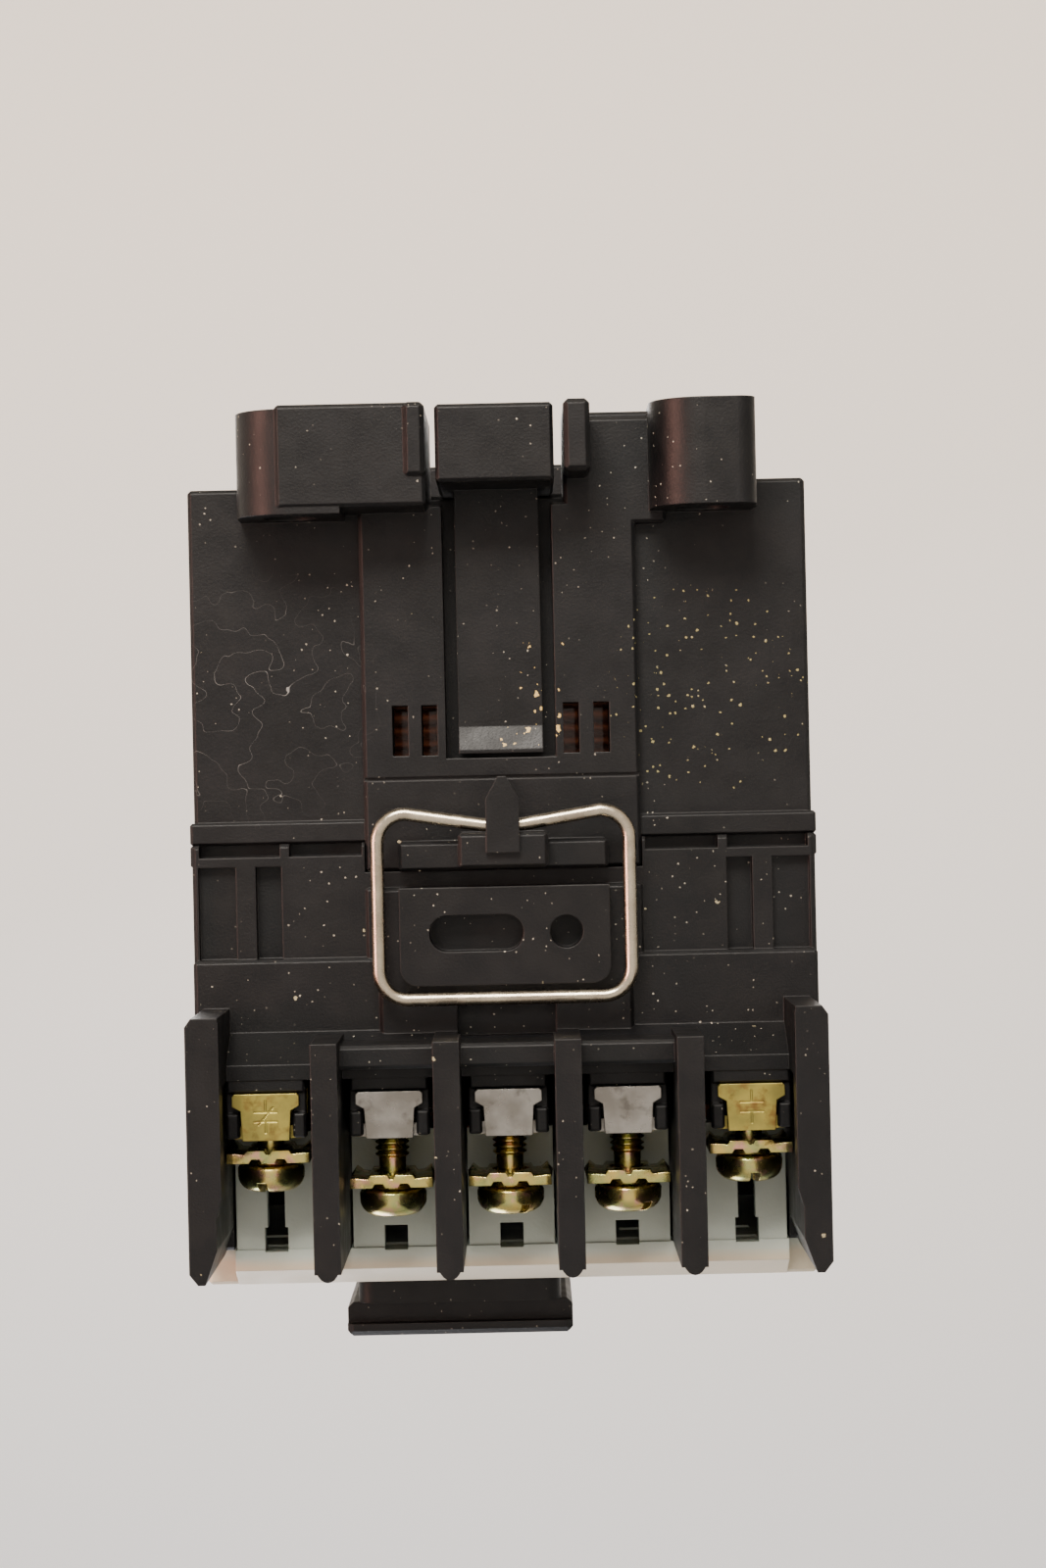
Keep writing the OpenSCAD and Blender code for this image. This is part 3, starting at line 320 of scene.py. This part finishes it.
def soft_plastic(name, light, dark, roughness, grain):
    """A plain moulding with cloudy tone and a grain of a size in mm."""
    material, shader = new_material(name, IOR=1.5, Roughness=roughness)
    tone = mixed(material, cloud(material, 5, 0.35, 0.75, 4.0), linear(light), linear(dark))
    material.node_tree.links.new(tone, shader.inputs["Base Color"])
    surface(material, shader, [(cloud(material, grain, 0.2, 0.8, 2.0), 0.01)], 0.12)
    return material


cover_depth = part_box("front_cover")[0].y
# The second tone is painted on the front of the cover as warm light falling on it.
finishes["grey_plastic"] = grey_polyamide("moulded_grey_polyamide", "b4bbb1", "bdb29c",
                                          cover_depth + 2.2 * MM)
finishes["label_plastic"] = soft_plastic("laminated_white_label", "dedcd2", "cfcabb", 0.35, 0.5)
finishes["bobbin_plastic"] = soft_plastic("moulded_natural_nylon", "dfd6b8", "c9bd98", 0.45, 0.4)
finishes["rubber"] = soft_plastic("black_rubber", "222222", "2e2c2a", 0.8, 0.25)

# %% [markdown]
# ## Metals
# The screws and clamping washers are steel with yellow-passivated zinc, whose thin film gives
# patches of gold, green and rose. The main terminals are nickel-plated and have dulled; the
# auxiliary ones are bare brass with brown tarnish. All are one recipe: two or three tones in
# clouds, with spots where the plating has gone, and a grain that follows how the piece was rolled,
# turned or drawn.

# %% Metal finishes
def metal(name, tones, roughness, cloud_size, spot_colour, spots, grain=0.25, grain_depth=0.006,
          stretch=(1, 1, 1)):
    """tones are two or three hex colours; stretch draws the grain out along one axis."""
    material, shader = new_material(name, Metallic=1.0)
    tone = mixed(material, cloud(material, cloud_size, 0.38, 0.62), linear(tones[0]), linear(tones[1]))
    if len(tones) > 2:
        tone = mixed(material, cloud(material, cloud_size * 0.6, 0.52, 0.7, 4.0), tone, linear(tones[2]))
    marks = maths(material, "MULTIPLY", cloud(material, 1.3, 0.58, 0.7, 5.0), spots)
    tone = mixed(material, marks, tone, linear(spot_colour))
    spread = add_node(material, "MapRange", {"To Min": roughness - 0.06, "To Max": roughness + 0.12},
                      {"Value": cloud(material, 1.1, 0.3, 0.75, 4.0)}).outputs[0]
    spread = maths(material, "ADD", spread, maths(material, "MULTIPLY", marks, 0.25))
    material.node_tree.links.new(tone, shader.inputs["Base Color"])
    material.node_tree.links.new(spread, shader.inputs["Roughness"])
    drawn = add_node(material, "Mapping", {"Scale": stretch}, {"Vector": place(material)}).outputs[0]
    lines = add_node(material, "TexNoise", {"Scale": per_mm(grain), "Detail": 2.0},
                     {"Vector": drawn}).outputs["Fac"]
    surface(material, shader, [(lines, grain_depth)], 0.08)
    return material


# Strip is rolled along Z, so its grain is five times as long that way
ROLLED = (1, 1, 0.2)
# Sheets are stacked along Z, so the grain is drawn long in the two directions across it
STACKED = (0.02, 0.02, 1)
finishes["yellow_zinc"] = metal("yellow_passivated_zinc", ("c4ac62", "9fa268", "c69684"),
                                0.22, 1.8, "5c5138", 0.35)
finishes["nickel_plate"] = metal("dulled_nickel_plate", ("8f8d88", "77746e"),
                                 0.3, 2.5, "4c4640", 0.5, grain=0.15, stretch=ROLLED)
finishes["brass"] = metal("tarnished_brass", ("a3964f", "8c8348", "7d6136"),
                          0.34, 2.0, "5e4426", 0.6, grain=0.15, stretch=ROLLED)
finishes["bail_wire"] = metal("drawn_stainless_wire", ("b5ab98", "9a9080"),
                              0.24, 3.0, "55493a", 0.3, grain=0.2, grain_depth=0.0015)
finishes["spring_steel"] = metal("drawn_spring_wire", ("a9abad", "94969a"),
                                 0.3, 2.0, "4a4a4a", 0.2)
finishes["core_steel"] = metal("laminated_silicon_steel", ("85878a", "6f7175"),
                               0.42, 3.0, "4d3a2c", 0.4, grain=0.5, grain_depth=0.03, stretch=STACKED)
finishes["copper"] = metal("punched_copper", ("b8714a", "a05f3e", "8a4c38"),
                           0.33, 2.5, "4f2e22", 0.4)
finishes["contact_silver"] = metal("silver_contact_alloy", ("d9d8d3", "c2c1bb"),
                                   0.28, 1.5, "6b655c", 0.4)
print("finishes:", len(finishes))

# %% [markdown]
# ## The coil's winding
# Some thousands of turns of enamelled wire lie side by side. The wire is 0.2 mm thick. Turns modelled
# one by one would be millions of faces, so a wave along the coil's length makes ridges in the
# finish, the same wave paints the grooves between them darker as painted shade, and the enamel gives
# a clear coat.

# %% Enamelled winding
WIRE_ACROSS = 0.2
# The texture runs 20 radians per unit, so a wave is 2 pi wires long, or 1.3 mm. Real ridges are one
# wire apart, which is too fine to show.
WAVES = per_mm(WIRE_ACROSS) / 20
winding, winding_shader = new_material("enamelled_copper_winding", Metallic=0.6, Roughness=0.35,
                                       Coat_Weight=0.4)
turns = add_node(winding, "TexWave", {"wave_type": "BANDS", "bands_direction": "Y", "Scale": WAVES},
                 {"Vector": place(winding)}).outputs["Fac"]
# Painted shade: the tone is darker in the grooves between turns, where the bump is low.
enamel_and_groove_shade = mixed(winding, turns, linear("4a2413"), linear("8d4a25"))
winding.node_tree.links.new(enamel_and_groove_shade, winding_shader.inputs["Base Color"])
surface(winding, winding_shader, [(turns, 0.05)], 0.1)
finishes["winding"] = winding

# %% [markdown]
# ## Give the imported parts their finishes
# The record says which finish each part has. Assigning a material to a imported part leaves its
# shape alone.

# %% Assign finishes
def finish_piece(piece, slot):
    """Gives a piece the one finish of a record slot."""
    piece.data.materials.clear()
    piece.data.materials.append(finishes[slot])


for name, part in nodes.items():
    finish_piece(part, slot_of[name])

# %% [markdown]
# ## Modelling by hand
# The pieces below are made as by hand: a primitive, edit-mode steps, then modifiers that are
# applied. An operator acts on everything selected, so each piece starts by deselecting all. A
# turned piece, such as a screw, grows from a disc: its end face is extruded along the axis and
# scaled to the next radius.

# %% Modelling helpers
def start():
    """Leaves edit mode and deselects everything."""
    if bpy.context.object and bpy.context.object.mode != "OBJECT":
        bpy.ops.object.mode_set(mode="OBJECT")
    bpy.ops.object.select_all(action="DESELECT")


def only(piece):
    """Selects this piece alone and makes it active."""
    start()
    piece.select_set(True)
    bpy.context.view_layer.objects.active = piece


def turned(name, profile, sides=32):
    """A closed turned piece round Z. The profile is (height, radius) in mm, from the bottom up."""
    start()
    (height, radius), *rest = profile
    bpy.ops.mesh.primitive_circle_add(vertices=sides, radius=radius * MM, fill_type="NGON",
                                      location=(0, 0, height * MM))
    piece = bpy.context.object
    piece.name = name
    bpy.ops.object.transform_apply(location=True, rotation=False, scale=False)
    bpy.ops.object.mode_set(mode="EDIT")
    for next_height, next_radius in rest:
        step = (0, 0, (next_height - height) * MM)
        bpy.ops.mesh.extrude_region_move(TRANSFORM_OT_translate={"value": step})
        ratio = next_radius / radius
        bpy.ops.transform.resize(value=(ratio, ratio, 1), center_override=(0, 0, 0))
        height, radius = next_height, next_radius
    bpy.ops.mesh.select_all(action="SELECT")
    bpy.ops.mesh.normals_make_consistent(inside=False)
    bpy.ops.object.mode_set(mode="OBJECT")
    return piece


def block(low, high):
    """A box between two corners in mm, used to cut or to grow a piece."""
    start()
    bpy.ops.mesh.primitive_cube_add(size=1, location=[(a + b) / 2 * MM for a, b in zip(low, high)],
                                    scale=[(b - a) * MM for a, b in zip(low, high)])
    bpy.ops.object.transform_apply()
    return bpy.context.object


def cut(piece, cutter):
    """Takes the cutter's shape out of the piece, and removes the cutter."""
    only(piece)
    tool = piece.modifiers.new("cut", "BOOLEAN")
    tool.operation = "DIFFERENCE"
    tool.solver = "EXACT"
    tool.object = cutter
    bpy.ops.object.modifier_apply(modifier=tool.name)
    bpy.data.objects.remove(cutter)


def round_edges(piece, width, segments=2, angle=35):
    """A small radius, in mm, on every edge sharper than an angle."""
    only(piece)
    tool = piece.modifiers.new("edges", "BEVEL")
    tool.width = width * MM
    tool.segments = segments
    tool.limit_method = "ANGLE"
    tool.angle_limit = math.radians(angle)
    tool.use_clamp_overlap = True
    bpy.ops.object.modifier_apply(modifier=tool.name)
    bpy.ops.object.shade_smooth_by_angle(angle=math.radians(30))


def copy_to(piece, name, matrix, node):
    """A copy with its own mesh, moved by a matrix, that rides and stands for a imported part."""
    mesh = piece.data.copy()
    mesh.transform(matrix)
    copy = bpy.data.objects.new(name, mesh)
    bpy.context.scene.collection.objects.link(copy)
    finish_piece(copy, slot_of[node])
    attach(copy, body_of[node])
    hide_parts(node)
    return copy


# Turns a piece made along Z so that its top faces the front of the contactor, which is -Y
FACE_FRONT = Matrix.Rotation(math.radians(90), 4, "X")

# %% [markdown]
# ## Terminal screws
# Each is a pan-head M3 screw with a slot and a cross, so that either driver fits. Under the head are a
# spring ring and a plain neck on which the clamping washer stays captive, then a thread of 0.5 mm pitch.
# At this size a helix and a row of rings look alike, and rings keep the mesh closed, so each turn
# of thread is a ring. The slots point different ways, as tightened screws do.

# %% Terminal screw
THREAD_PITCH = 0.5
THREAD_CREST = 1.46
THREAD_ROOT = 1.17
NECK = 1.15
NECK_LENGTH = 1.5
HEAD_RADIUS = 2.85

sample_low, sample_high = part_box("load_screw_2")
head_and_shank = (sample_high.y - sample_low.y) / MM
HEAD_HEIGHT = 2.8
shank = head_and_shank - HEAD_HEIGHT


def screw_profile():
    """Heights and radii in mm, from the end of the thread up to the top of the head."""
    points = [(-shank, THREAD_ROOT - 0.25), (-shank + 0.3, THREAD_ROOT)]
    threads = int((shank - NECK_LENGTH - 0.6) / THREAD_PITCH)
    for turn in range(threads):
        base = -shank + 0.3 + turn * THREAD_PITCH
        points += [(base + 0.2, THREAD_CREST), (base + 0.3, THREAD_CREST), (base + 0.5, THREAD_ROOT)]
    points += [(-NECK_LENGTH, NECK), (0.0, NECK), (0.02, 1.95), (0.28, 1.95)]
    points += [(0.32, 2.45), (0.5, HEAD_RADIUS - 0.12), (0.75, HEAD_RADIUS)]
    # The top edge is a quarter ellipse into a slightly domed face
    for step in range(1, 9):
        a = math.radians(step * 10)
        points.append((1.25 + 1.4 * math.sin(a), HEAD_RADIUS - 1.35 + 1.35 * math.cos(a)))
    points += [(HEAD_HEIGHT - 0.08, 1.2), (HEAD_HEIGHT, 0.3)]
    return points


screw = turned("screw_pattern", screw_profile(), 40)
cut(screw, block((-4, -0.4, HEAD_HEIGHT - 1.0), (4, 0.4, HEAD_HEIGHT + 1)))
cut(screw, block((-0.36, -1.6, HEAD_HEIGHT - 1.2), (0.36, 1.6, HEAD_HEIGHT + 1)))
only(screw)
bpy.ops.object.shade_smooth_by_angle(angle=math.radians(35))
print("screw faces:", len(screw.data.polygons), "shank in mm:", round(shank, 2))

# %% [markdown]
# ## One screw in every terminal
# A row of screws that all point one way looks like a drawing, because a fitter stops each one where
# it is tight. Five slots have their own angle, and the others step round by a fixed one. Each copy
# has a mesh of its own, stands in for its packed screw, and rides on the same body.

# %% Place the screws
SLOT_TURNS = {"load_aux_screw_right": 103, "load_screw_3": 4, "load_screw_2": 61, "load_screw_1": 53,
              "load_aux_screw_left": 82}
OTHER_TURN = 50
screw_nodes = sorted(name for name in nodes if "screw" in name)
for number, name in enumerate(screw_nodes):
    low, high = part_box(name)
    seat = Vector(((low.x + high.x) / 2, low.y + HEAD_HEIGHT * MM, (low.z + high.z) / 2))
    turn = Matrix.Rotation(math.radians(SLOT_TURNS.get(name, OTHER_TURN * number)), 4, "Z")
    copy_to(screw, "pan_head_" + name, Matrix.Translation(seat) @ FACE_FRONT @ turn, name)
bpy.data.objects.remove(screw)
print("screws placed:", len(screw_nodes))

# %% [markdown]
# ## Clamping washers
# The square washers are pressed from steel sheet 0.82 mm thick. Two ribs across the middle grip the
# wire, and the corners nearest the contactor's centre are turned up to keep strands from escaping.
# A plane is bisected into strips: moving some of them forms the ribs and the corners, and Solidify
# gives the thickness. A box would need every face moved twice.

# %% Clamping washer
washer_low, washer_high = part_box("washer_load_2")
WASHER = (washer_high.x - washer_low.x) / MM
SHEET = 0.82
RIB = 0.34
# Strips across, in mm: a rib's foot, its flat top and its other foot, on each side of the middle
RIB_LINES = (0.55, 0.75, 1.4, 1.62)
CORNER_LINE = 2.9
CORNER_STEPS = (0.9, 1.7, 2.5)
# A corner starts to rise here along the washer, and is fully up after this run
CORNER_START = 0.8
CORNER_RUN = 1.2
CORNER_RISE = 0.55
CORNER_SPREAD = 0.045


def clamping_washer():
    """A ribbed washer round the origin with its front face up, still without its hole."""
    start()
    bpy.ops.mesh.primitive_plane_add(size=WASHER * MM)
    piece = bpy.context.object
    piece.name = "washer_pattern"
    bpy.ops.object.mode_set(mode="EDIT")
    for x in [side * line for side in (-1, 1) for line in (*RIB_LINES, CORNER_LINE)]:
        bpy.ops.mesh.select_all(action="SELECT")
        bpy.ops.mesh.bisect(plane_co=(x * MM, 0, 0), plane_no=(1, 0, 0))
    for y in CORNER_STEPS:
        bpy.ops.mesh.select_all(action="SELECT")
        bpy.ops.mesh.bisect(plane_co=(0, y * MM, 0), plane_no=(0, 1, 0))
    bpy.ops.object.mode_set(mode="OBJECT")
    for vertex in piece.data.vertices:
        x, y = abs(vertex.co.x) / MM, vertex.co.y / MM
        if RIB_LINES[1] - 0.02 < x < RIB_LINES[2] + 0.02:
            vertex.co.z -= RIB * MM
        if x > CORNER_LINE + 0.3 and y > CORNER_START:
            rise = min(1, (y - CORNER_START) / CORNER_RUN)
            vertex.co.z -= CORNER_RISE * rise * MM
            vertex.co.x *= 1 + CORNER_SPREAD * rise
    only(piece)
    tool = piece.modifiers.new("thickness", "SOLIDIFY")
    tool.thickness = SHEET * MM
    tool.offset = -1
    bpy.ops.object.modifier_apply(modifier=tool.name)
    return piece


washer = clamping_washer()
hole = turned("hole", [(-3, 1.6), (3, 1.6)], 32)
cut(washer, hole)
round_edges(washer, 0.1)
print("washer faces:", len(washer.data.polygons))

# %% [markdown]
# ## One washer under every screw
# The corners that are turned up point to the middle of the contactor at both ends, so the washers
# of the far end are turned half round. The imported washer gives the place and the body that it
# rides on.

# %% Place the washers
washer_nodes = sorted(name for name in nodes if name.startswith("washer"))
for name in washer_nodes:
    low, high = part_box(name)
    front = Vector(((low.x + high.x) / 2, low.y, (low.z + high.z) / 2))
    # The turned-up corners point to the middle of the contactor
    side = 0 if front.z < 0 else 180
    turn = Matrix.Rotation(math.radians(side), 4, "Z")
    copy_to(washer, "clamping_" + name, Matrix.Translation(front) @ FACE_FRONT @ turn, name)
bpy.data.objects.remove(washer)
print("washers placed:", len(washer_nodes))

# %% [markdown]
# ## Wire bails
# A bail is one length of stainless wire bent to a round-cornered rectangle. Its hinge side dips
# behind a finger of the housing. A plane gives the rectangle and bevelled corners give the bends.
# The hinge side is subdivided, and its points are moved down to the finger. Turning the outline
# into a curve with a thickness then gives round wire along all of it, with no gap at the joint.

# %% Wire bail
bail_low, bail_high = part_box("load_bail")
WIRE_RADIUS = (bail_high.z - bail_low.z) / 2
BEND = 2.4 * MM
DIP = 1.1 * MM
FINGER = 1.4 * MM
NEARLY = 0.01 * MM


def wire_bail(name, node):
    """Bent wire that fills the box of a packed bail and stands in for it."""
    low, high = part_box(node)
    level = (low.z + high.z) / 2
    left, right = low.x + WIRE_RADIUS, high.x - WIRE_RADIUS
    front, rear = low.y + WIRE_RADIUS, high.y - WIRE_RADIUS
    start()
    bpy.ops.mesh.primitive_plane_add(size=1, location=((left + right) / 2, (front + rear) / 2, level))
    piece = bpy.context.object
    piece.name = name
    piece.scale = (right - left, rear - front, 1)
    bpy.ops.object.transform_apply()
    bpy.ops.object.mode_set(mode="EDIT")
    bpy.ops.mesh.select_all(action="SELECT")
    bpy.ops.mesh.bevel(offset=BEND, segments=8, affect="VERTICES")
    bpy.ops.mesh.select_mode(type="EDGE")
    bpy.ops.mesh.select_all(action="DESELECT")
    bpy.ops.object.mode_set(mode="OBJECT")
    mesh = piece.data
    for edge in mesh.edges:
        ends = [mesh.vertices[v].co for v in edge.vertices]
        on_hinge_side = all(end.y > rear - NEARLY for end in ends)
        edge.select = on_hinge_side and (ends[0] - ends[1]).length > BEND
    bpy.ops.object.mode_set(mode="EDIT")
    bpy.ops.mesh.subdivide(number_cuts=14)
    bpy.ops.mesh.select_all(action="SELECT")
    bpy.ops.mesh.delete(type="ONLY_FACE")
    bpy.ops.mesh.select_mode(type="VERT")
    bpy.ops.object.mode_set(mode="OBJECT")
    half = (right - left) / 2
    for vertex in mesh.vertices:
        if vertex.co.y > rear - NEARLY:
            # The wire falls in a straight line from each bend to the finger
            reach = 1 - max(0.0, abs(vertex.co.x) - FINGER) / (half - BEND - FINGER)
            vertex.co.y -= DIP * max(0.0, min(1.0, reach))
    only(piece)
    bpy.ops.object.convert(target="CURVE")
    piece = bpy.context.object
    piece.data.dimensions = "3D"
    piece.data.bevel_depth = WIRE_RADIUS
    piece.data.bevel_resolution = 6
    bpy.ops.object.convert(target="MESH")
    piece = bpy.context.object
    bpy.ops.object.mode_set(mode="EDIT")
    bpy.ops.mesh.select_all(action="SELECT")
    bpy.ops.mesh.remove_doubles(threshold=1e-6)
    bpy.ops.mesh.normals_make_consistent(inside=False)
    bpy.ops.object.mode_set(mode="OBJECT")
    bpy.ops.object.shade_smooth()
    finish_piece(piece, slot_of[node])
    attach(piece, body_of[node])
    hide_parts(node)
    print(name, "vertices:", len(piece.data.vertices))


for end in ("load", "line"):
    wire_bail(f"stainless_{end}_bail", f"{end}_bail")

# %% [markdown]
# ## Springs
# Two springs push the magnet's moving half forward, and one small spring holds each contact bridge. A
# small circle of wire, carried round by a Screw modifier, is a coil with a true pitch.

# %% Coil springs
def coil_spring(name, x, z, y_rear, y_front, radius, wire, turns_count, body, node):
    """A spring along Y between two places, in metres; radius and wire are in mm."""
    start()
    rise = (y_rear - y_front - 2 * wire * MM) / turns_count
    bpy.ops.mesh.primitive_circle_add(vertices=10, radius=wire * MM, fill_type="NOTHING",
                                      rotation=(math.radians(90), 0, 0))
    piece = bpy.context.object
    piece.name = name
    bpy.ops.object.transform_apply()
    piece.data.transform(Matrix.Translation((radius * MM, 0, wire * MM)))
    tool = piece.modifiers.new("coil", "SCREW")
    tool.axis = "Z"
    tool.screw_offset = rise
    tool.iterations = turns_count
    tool.steps = tool.render_steps = 20
    tool.use_normal_calculate = True
    bpy.ops.object.modifier_apply(modifier=tool.name)
    bpy.ops.object.mode_set(mode="EDIT")
    bpy.ops.mesh.select_all(action="SELECT")
    bpy.ops.mesh.fill_holes(sides=10)
    bpy.ops.mesh.select_all(action="SELECT")
    bpy.ops.mesh.normals_make_consistent(inside=False)
    bpy.ops.object.mode_set(mode="OBJECT")
    piece.data.transform(Matrix.Translation((x, y_rear, z)) @ FACE_FRONT)
    bpy.ops.object.shade_smooth_by_angle(angle=math.radians(40))
    finish_piece(piece, slot_of[node])
    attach(piece, body)
    return piece


low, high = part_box("return_springs")
coil = (high.x - low.x) / 2 / MM
RETURN_WIRE = 0.3
for side in (-1, 1):
    end = "load" if side < 0 else "line"
    spring = coil_spring(f"return_spring_{end}", 0, side * (high.z - coil * MM), high.y, low.y,
                         coil - RETURN_WIRE, RETURN_WIRE, 6, "frame", "return_springs")
    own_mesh(spring)
    if side < 0:
        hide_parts("return_springs")

# %% [markdown]
# ## Contact springs
# One small spring presses on each bridge, so that all the contacts touch with the same force even
# when one has worn. Four of the bridges close, and their springs stand in front of them on the
# carrier. The fifth contact opens, so its spring stands behind its bridge.

# %% Contact springs
spring_low, spring_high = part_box("contact_springs")
small = 1.95
SMALL_WIRE = 0.25
# A spring ends this much short of the bridge, so that the two don't touch at rest
GAP = 0.02 * MM
bridge_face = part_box("main_bridges")[0].y
closing_x = [(lo.x + hi.x) / 2 for lo, hi in (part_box(f"load_terminal_{n}") for n in (1, 2, 3))]
aux_low, aux_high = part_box("aux_closing_bridge")
closing_x.append((aux_low.x + aux_high.x) / 2)
for number, x in enumerate(closing_x, 1):
    spring = coil_spring(f"contact_spring_{number}", x, 0, bridge_face - GAP, spring_low.y,
                         small - SMALL_WIRE, SMALL_WIRE, 4, "armature", "contact_springs")
    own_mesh(spring)
    if number == 1:
        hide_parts("contact_springs")
opening_low, opening_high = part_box("aux_opening_bridge")
coil_spring("contact_spring_5", (opening_low.x + opening_high.x) / 2, 0, spring_high.y,
            opening_high.y + GAP, small - SMALL_WIRE, SMALL_WIRE, 3, "contact_bridges", "contact_springs")
print("springs:", 2 + len(closing_x) + 1)

# %% [markdown]
# ## Stamped marks on the auxiliary terminals
# The outer terminals carry a stamped sign for a closing or an opening contact: two bars, with a stroke
# through them on one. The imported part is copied, its loose triangles are merged, and thin blocks cut
# the marks a tenth of a millimetre deep.

# %% Stamp the signs
STAMP_DEPTH = 0.1
PAST_FACE = 0.5


def stamped(node, strokes):
    """strokes are (low x, low depth, high x, high depth) in mm from the middle of the plate."""
    low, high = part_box(node)
    end = -1 if low.z < 0 else 1
    face = (low.z if end < 0 else high.z) / MM
    middle = ((low.x + high.x) / 2 / MM, -(low.y / MM) - 2.0)
    piece = bpy.data.objects.new("stamped_" + node, nodes[node].data.copy())
    bpy.context.scene.collection.objects.link(piece)
    only(piece)
    bpy.ops.object.mode_set(mode="EDIT")
    bpy.ops.mesh.select_all(action="SELECT")
    bpy.ops.mesh.remove_doubles(threshold=1e-6)
    bpy.ops.object.mode_set(mode="OBJECT")
    for x0, d0, x1, d1 in strokes:
        inner, outer = sorted((face - end * STAMP_DEPTH, face + end * PAST_FACE))
        cut(piece, block((middle[0] + x0, -(middle[1] + d1), inner),
                         (middle[0] + x1, -(middle[1] + d0), outer)))
    finish_piece(piece, slot_of[node])
    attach(piece, body_of[node])
    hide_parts(node)


SIGN = [(-1.0, -0.48, 1.0, -0.32), (-1.0, 0.32, 1.0, 0.48), (-0.08, -1.4, 0.08, -0.48),
        (-0.08, 0.48, 0.08, 1.4)]
# A leaning stroke, in short steps, crosses the sign of a contact that opens
LEANING = [(-0.7 + 0.1 * k, -0.84 + 0.12 * k, -0.52 + 0.1 * k, -0.70 + 0.12 * k) for k in range(13)]
for end in ("load", "line"):
    stamped(f"{end}_aux_terminal_left", SIGN)
    stamped(f"{end}_aux_terminal_right", SIGN + LEANING)

# %% [markdown]
# ## Light and surroundings
# A plain pale floor lies well below and a pale ceiling well above. Both are 30 m wide, so that their
# corners stay out of every view and their far edge is a level horizon. Both glow a little, because
# lights small enough to shape the contactor are too weak to light sheets of that size. A soft warm
# light stands on the rear side of the camera, a weaker rosy one at the +X side of the contactor,
# and two more keep its front and its line end readable.

# %% Stage
SHEET_WIDTH = 30.0


def sheet(name, height, tones, glow):
    """A wide glowing sheet at a height in metres. tones are its colour at the front and the rear."""
    start()
    bpy.ops.mesh.primitive_plane_add(size=SHEET_WIDTH, location=(0, 0, height))
    bpy.ops.object.transform_apply()
    piece = bpy.context.object
    piece.name = name
    material, shader = new_material(name + "_paper", Roughness=0.9, Specular_IOR_Level=0.1,
                                    Emission_Strength=glow)
    across = add_node(material, "SeparateXYZ", links={"Vector": place(material)}).outputs["Y"]
    shade = add_node(material, "MapRange", {"From Min": -0.25, "From Max": 0.15},
                     {"Value": across}).outputs[0]
    tone = mixed(material, shade, linear(tones[0]), linear(tones[1]))
    for socket in ("Base Color", "Emission Color"):
        material.node_tree.links.new(tone, shader.inputs[socket])
    piece.data.materials.append(material)


sheet("pale_floor", -0.62, ("cfcdc9", "cfcdc9"), 0.3)
sheet("pale_ceiling", 0.62, ("c3c3c2", "e2d8cb"), 0.75)

# %% [markdown]
# ## Lights
# Each light is a square panel turned to the middle of the contactor. A larger panel gives softer
# shadows, and its power is set for the distance that it stands at.

# %% Lights
def soft_light(name, place_at, size, watts, colour):
    """A square soft light aimed at the middle of the contactor."""
    data = bpy.data.lights.new(name, "AREA")
    data.size = size
    data.energy = watts
    data.color = linear(colour)[:3]
    light = bpy.data.objects.new(name, data)
    bpy.context.scene.collection.objects.link(light)
    light.location = place_at
    aim = (cad_low + cad_high) / 2 - Vector(place_at)
    light.rotation_euler = aim.to_track_quat("-Z", "Y").to_euler()


soft_light("key", (0.06, 0.3, -0.34), 0.2, 5.5, "fff8ee")
soft_light("rosy_side", (0.4, 0.0, -0.24), 0.2, 2.2, "ffb8a6")
soft_light("front_fill", (0.25, -0.5, 0.25), 0.4, 5.0, "f6f7ff")
soft_light("line_end_fill", (0.1, 0.2, 0.5), 0.4, 2.5, "ffffff")
world = bpy.data.worlds.new("room")
bpy.context.scene.world = world
world.use_nodes = True
world.node_tree.nodes["Background"].inputs["Color"].default_value = linear("e8e6e2")
world.node_tree.nodes["Background"].inputs["Strength"].default_value = 0.25
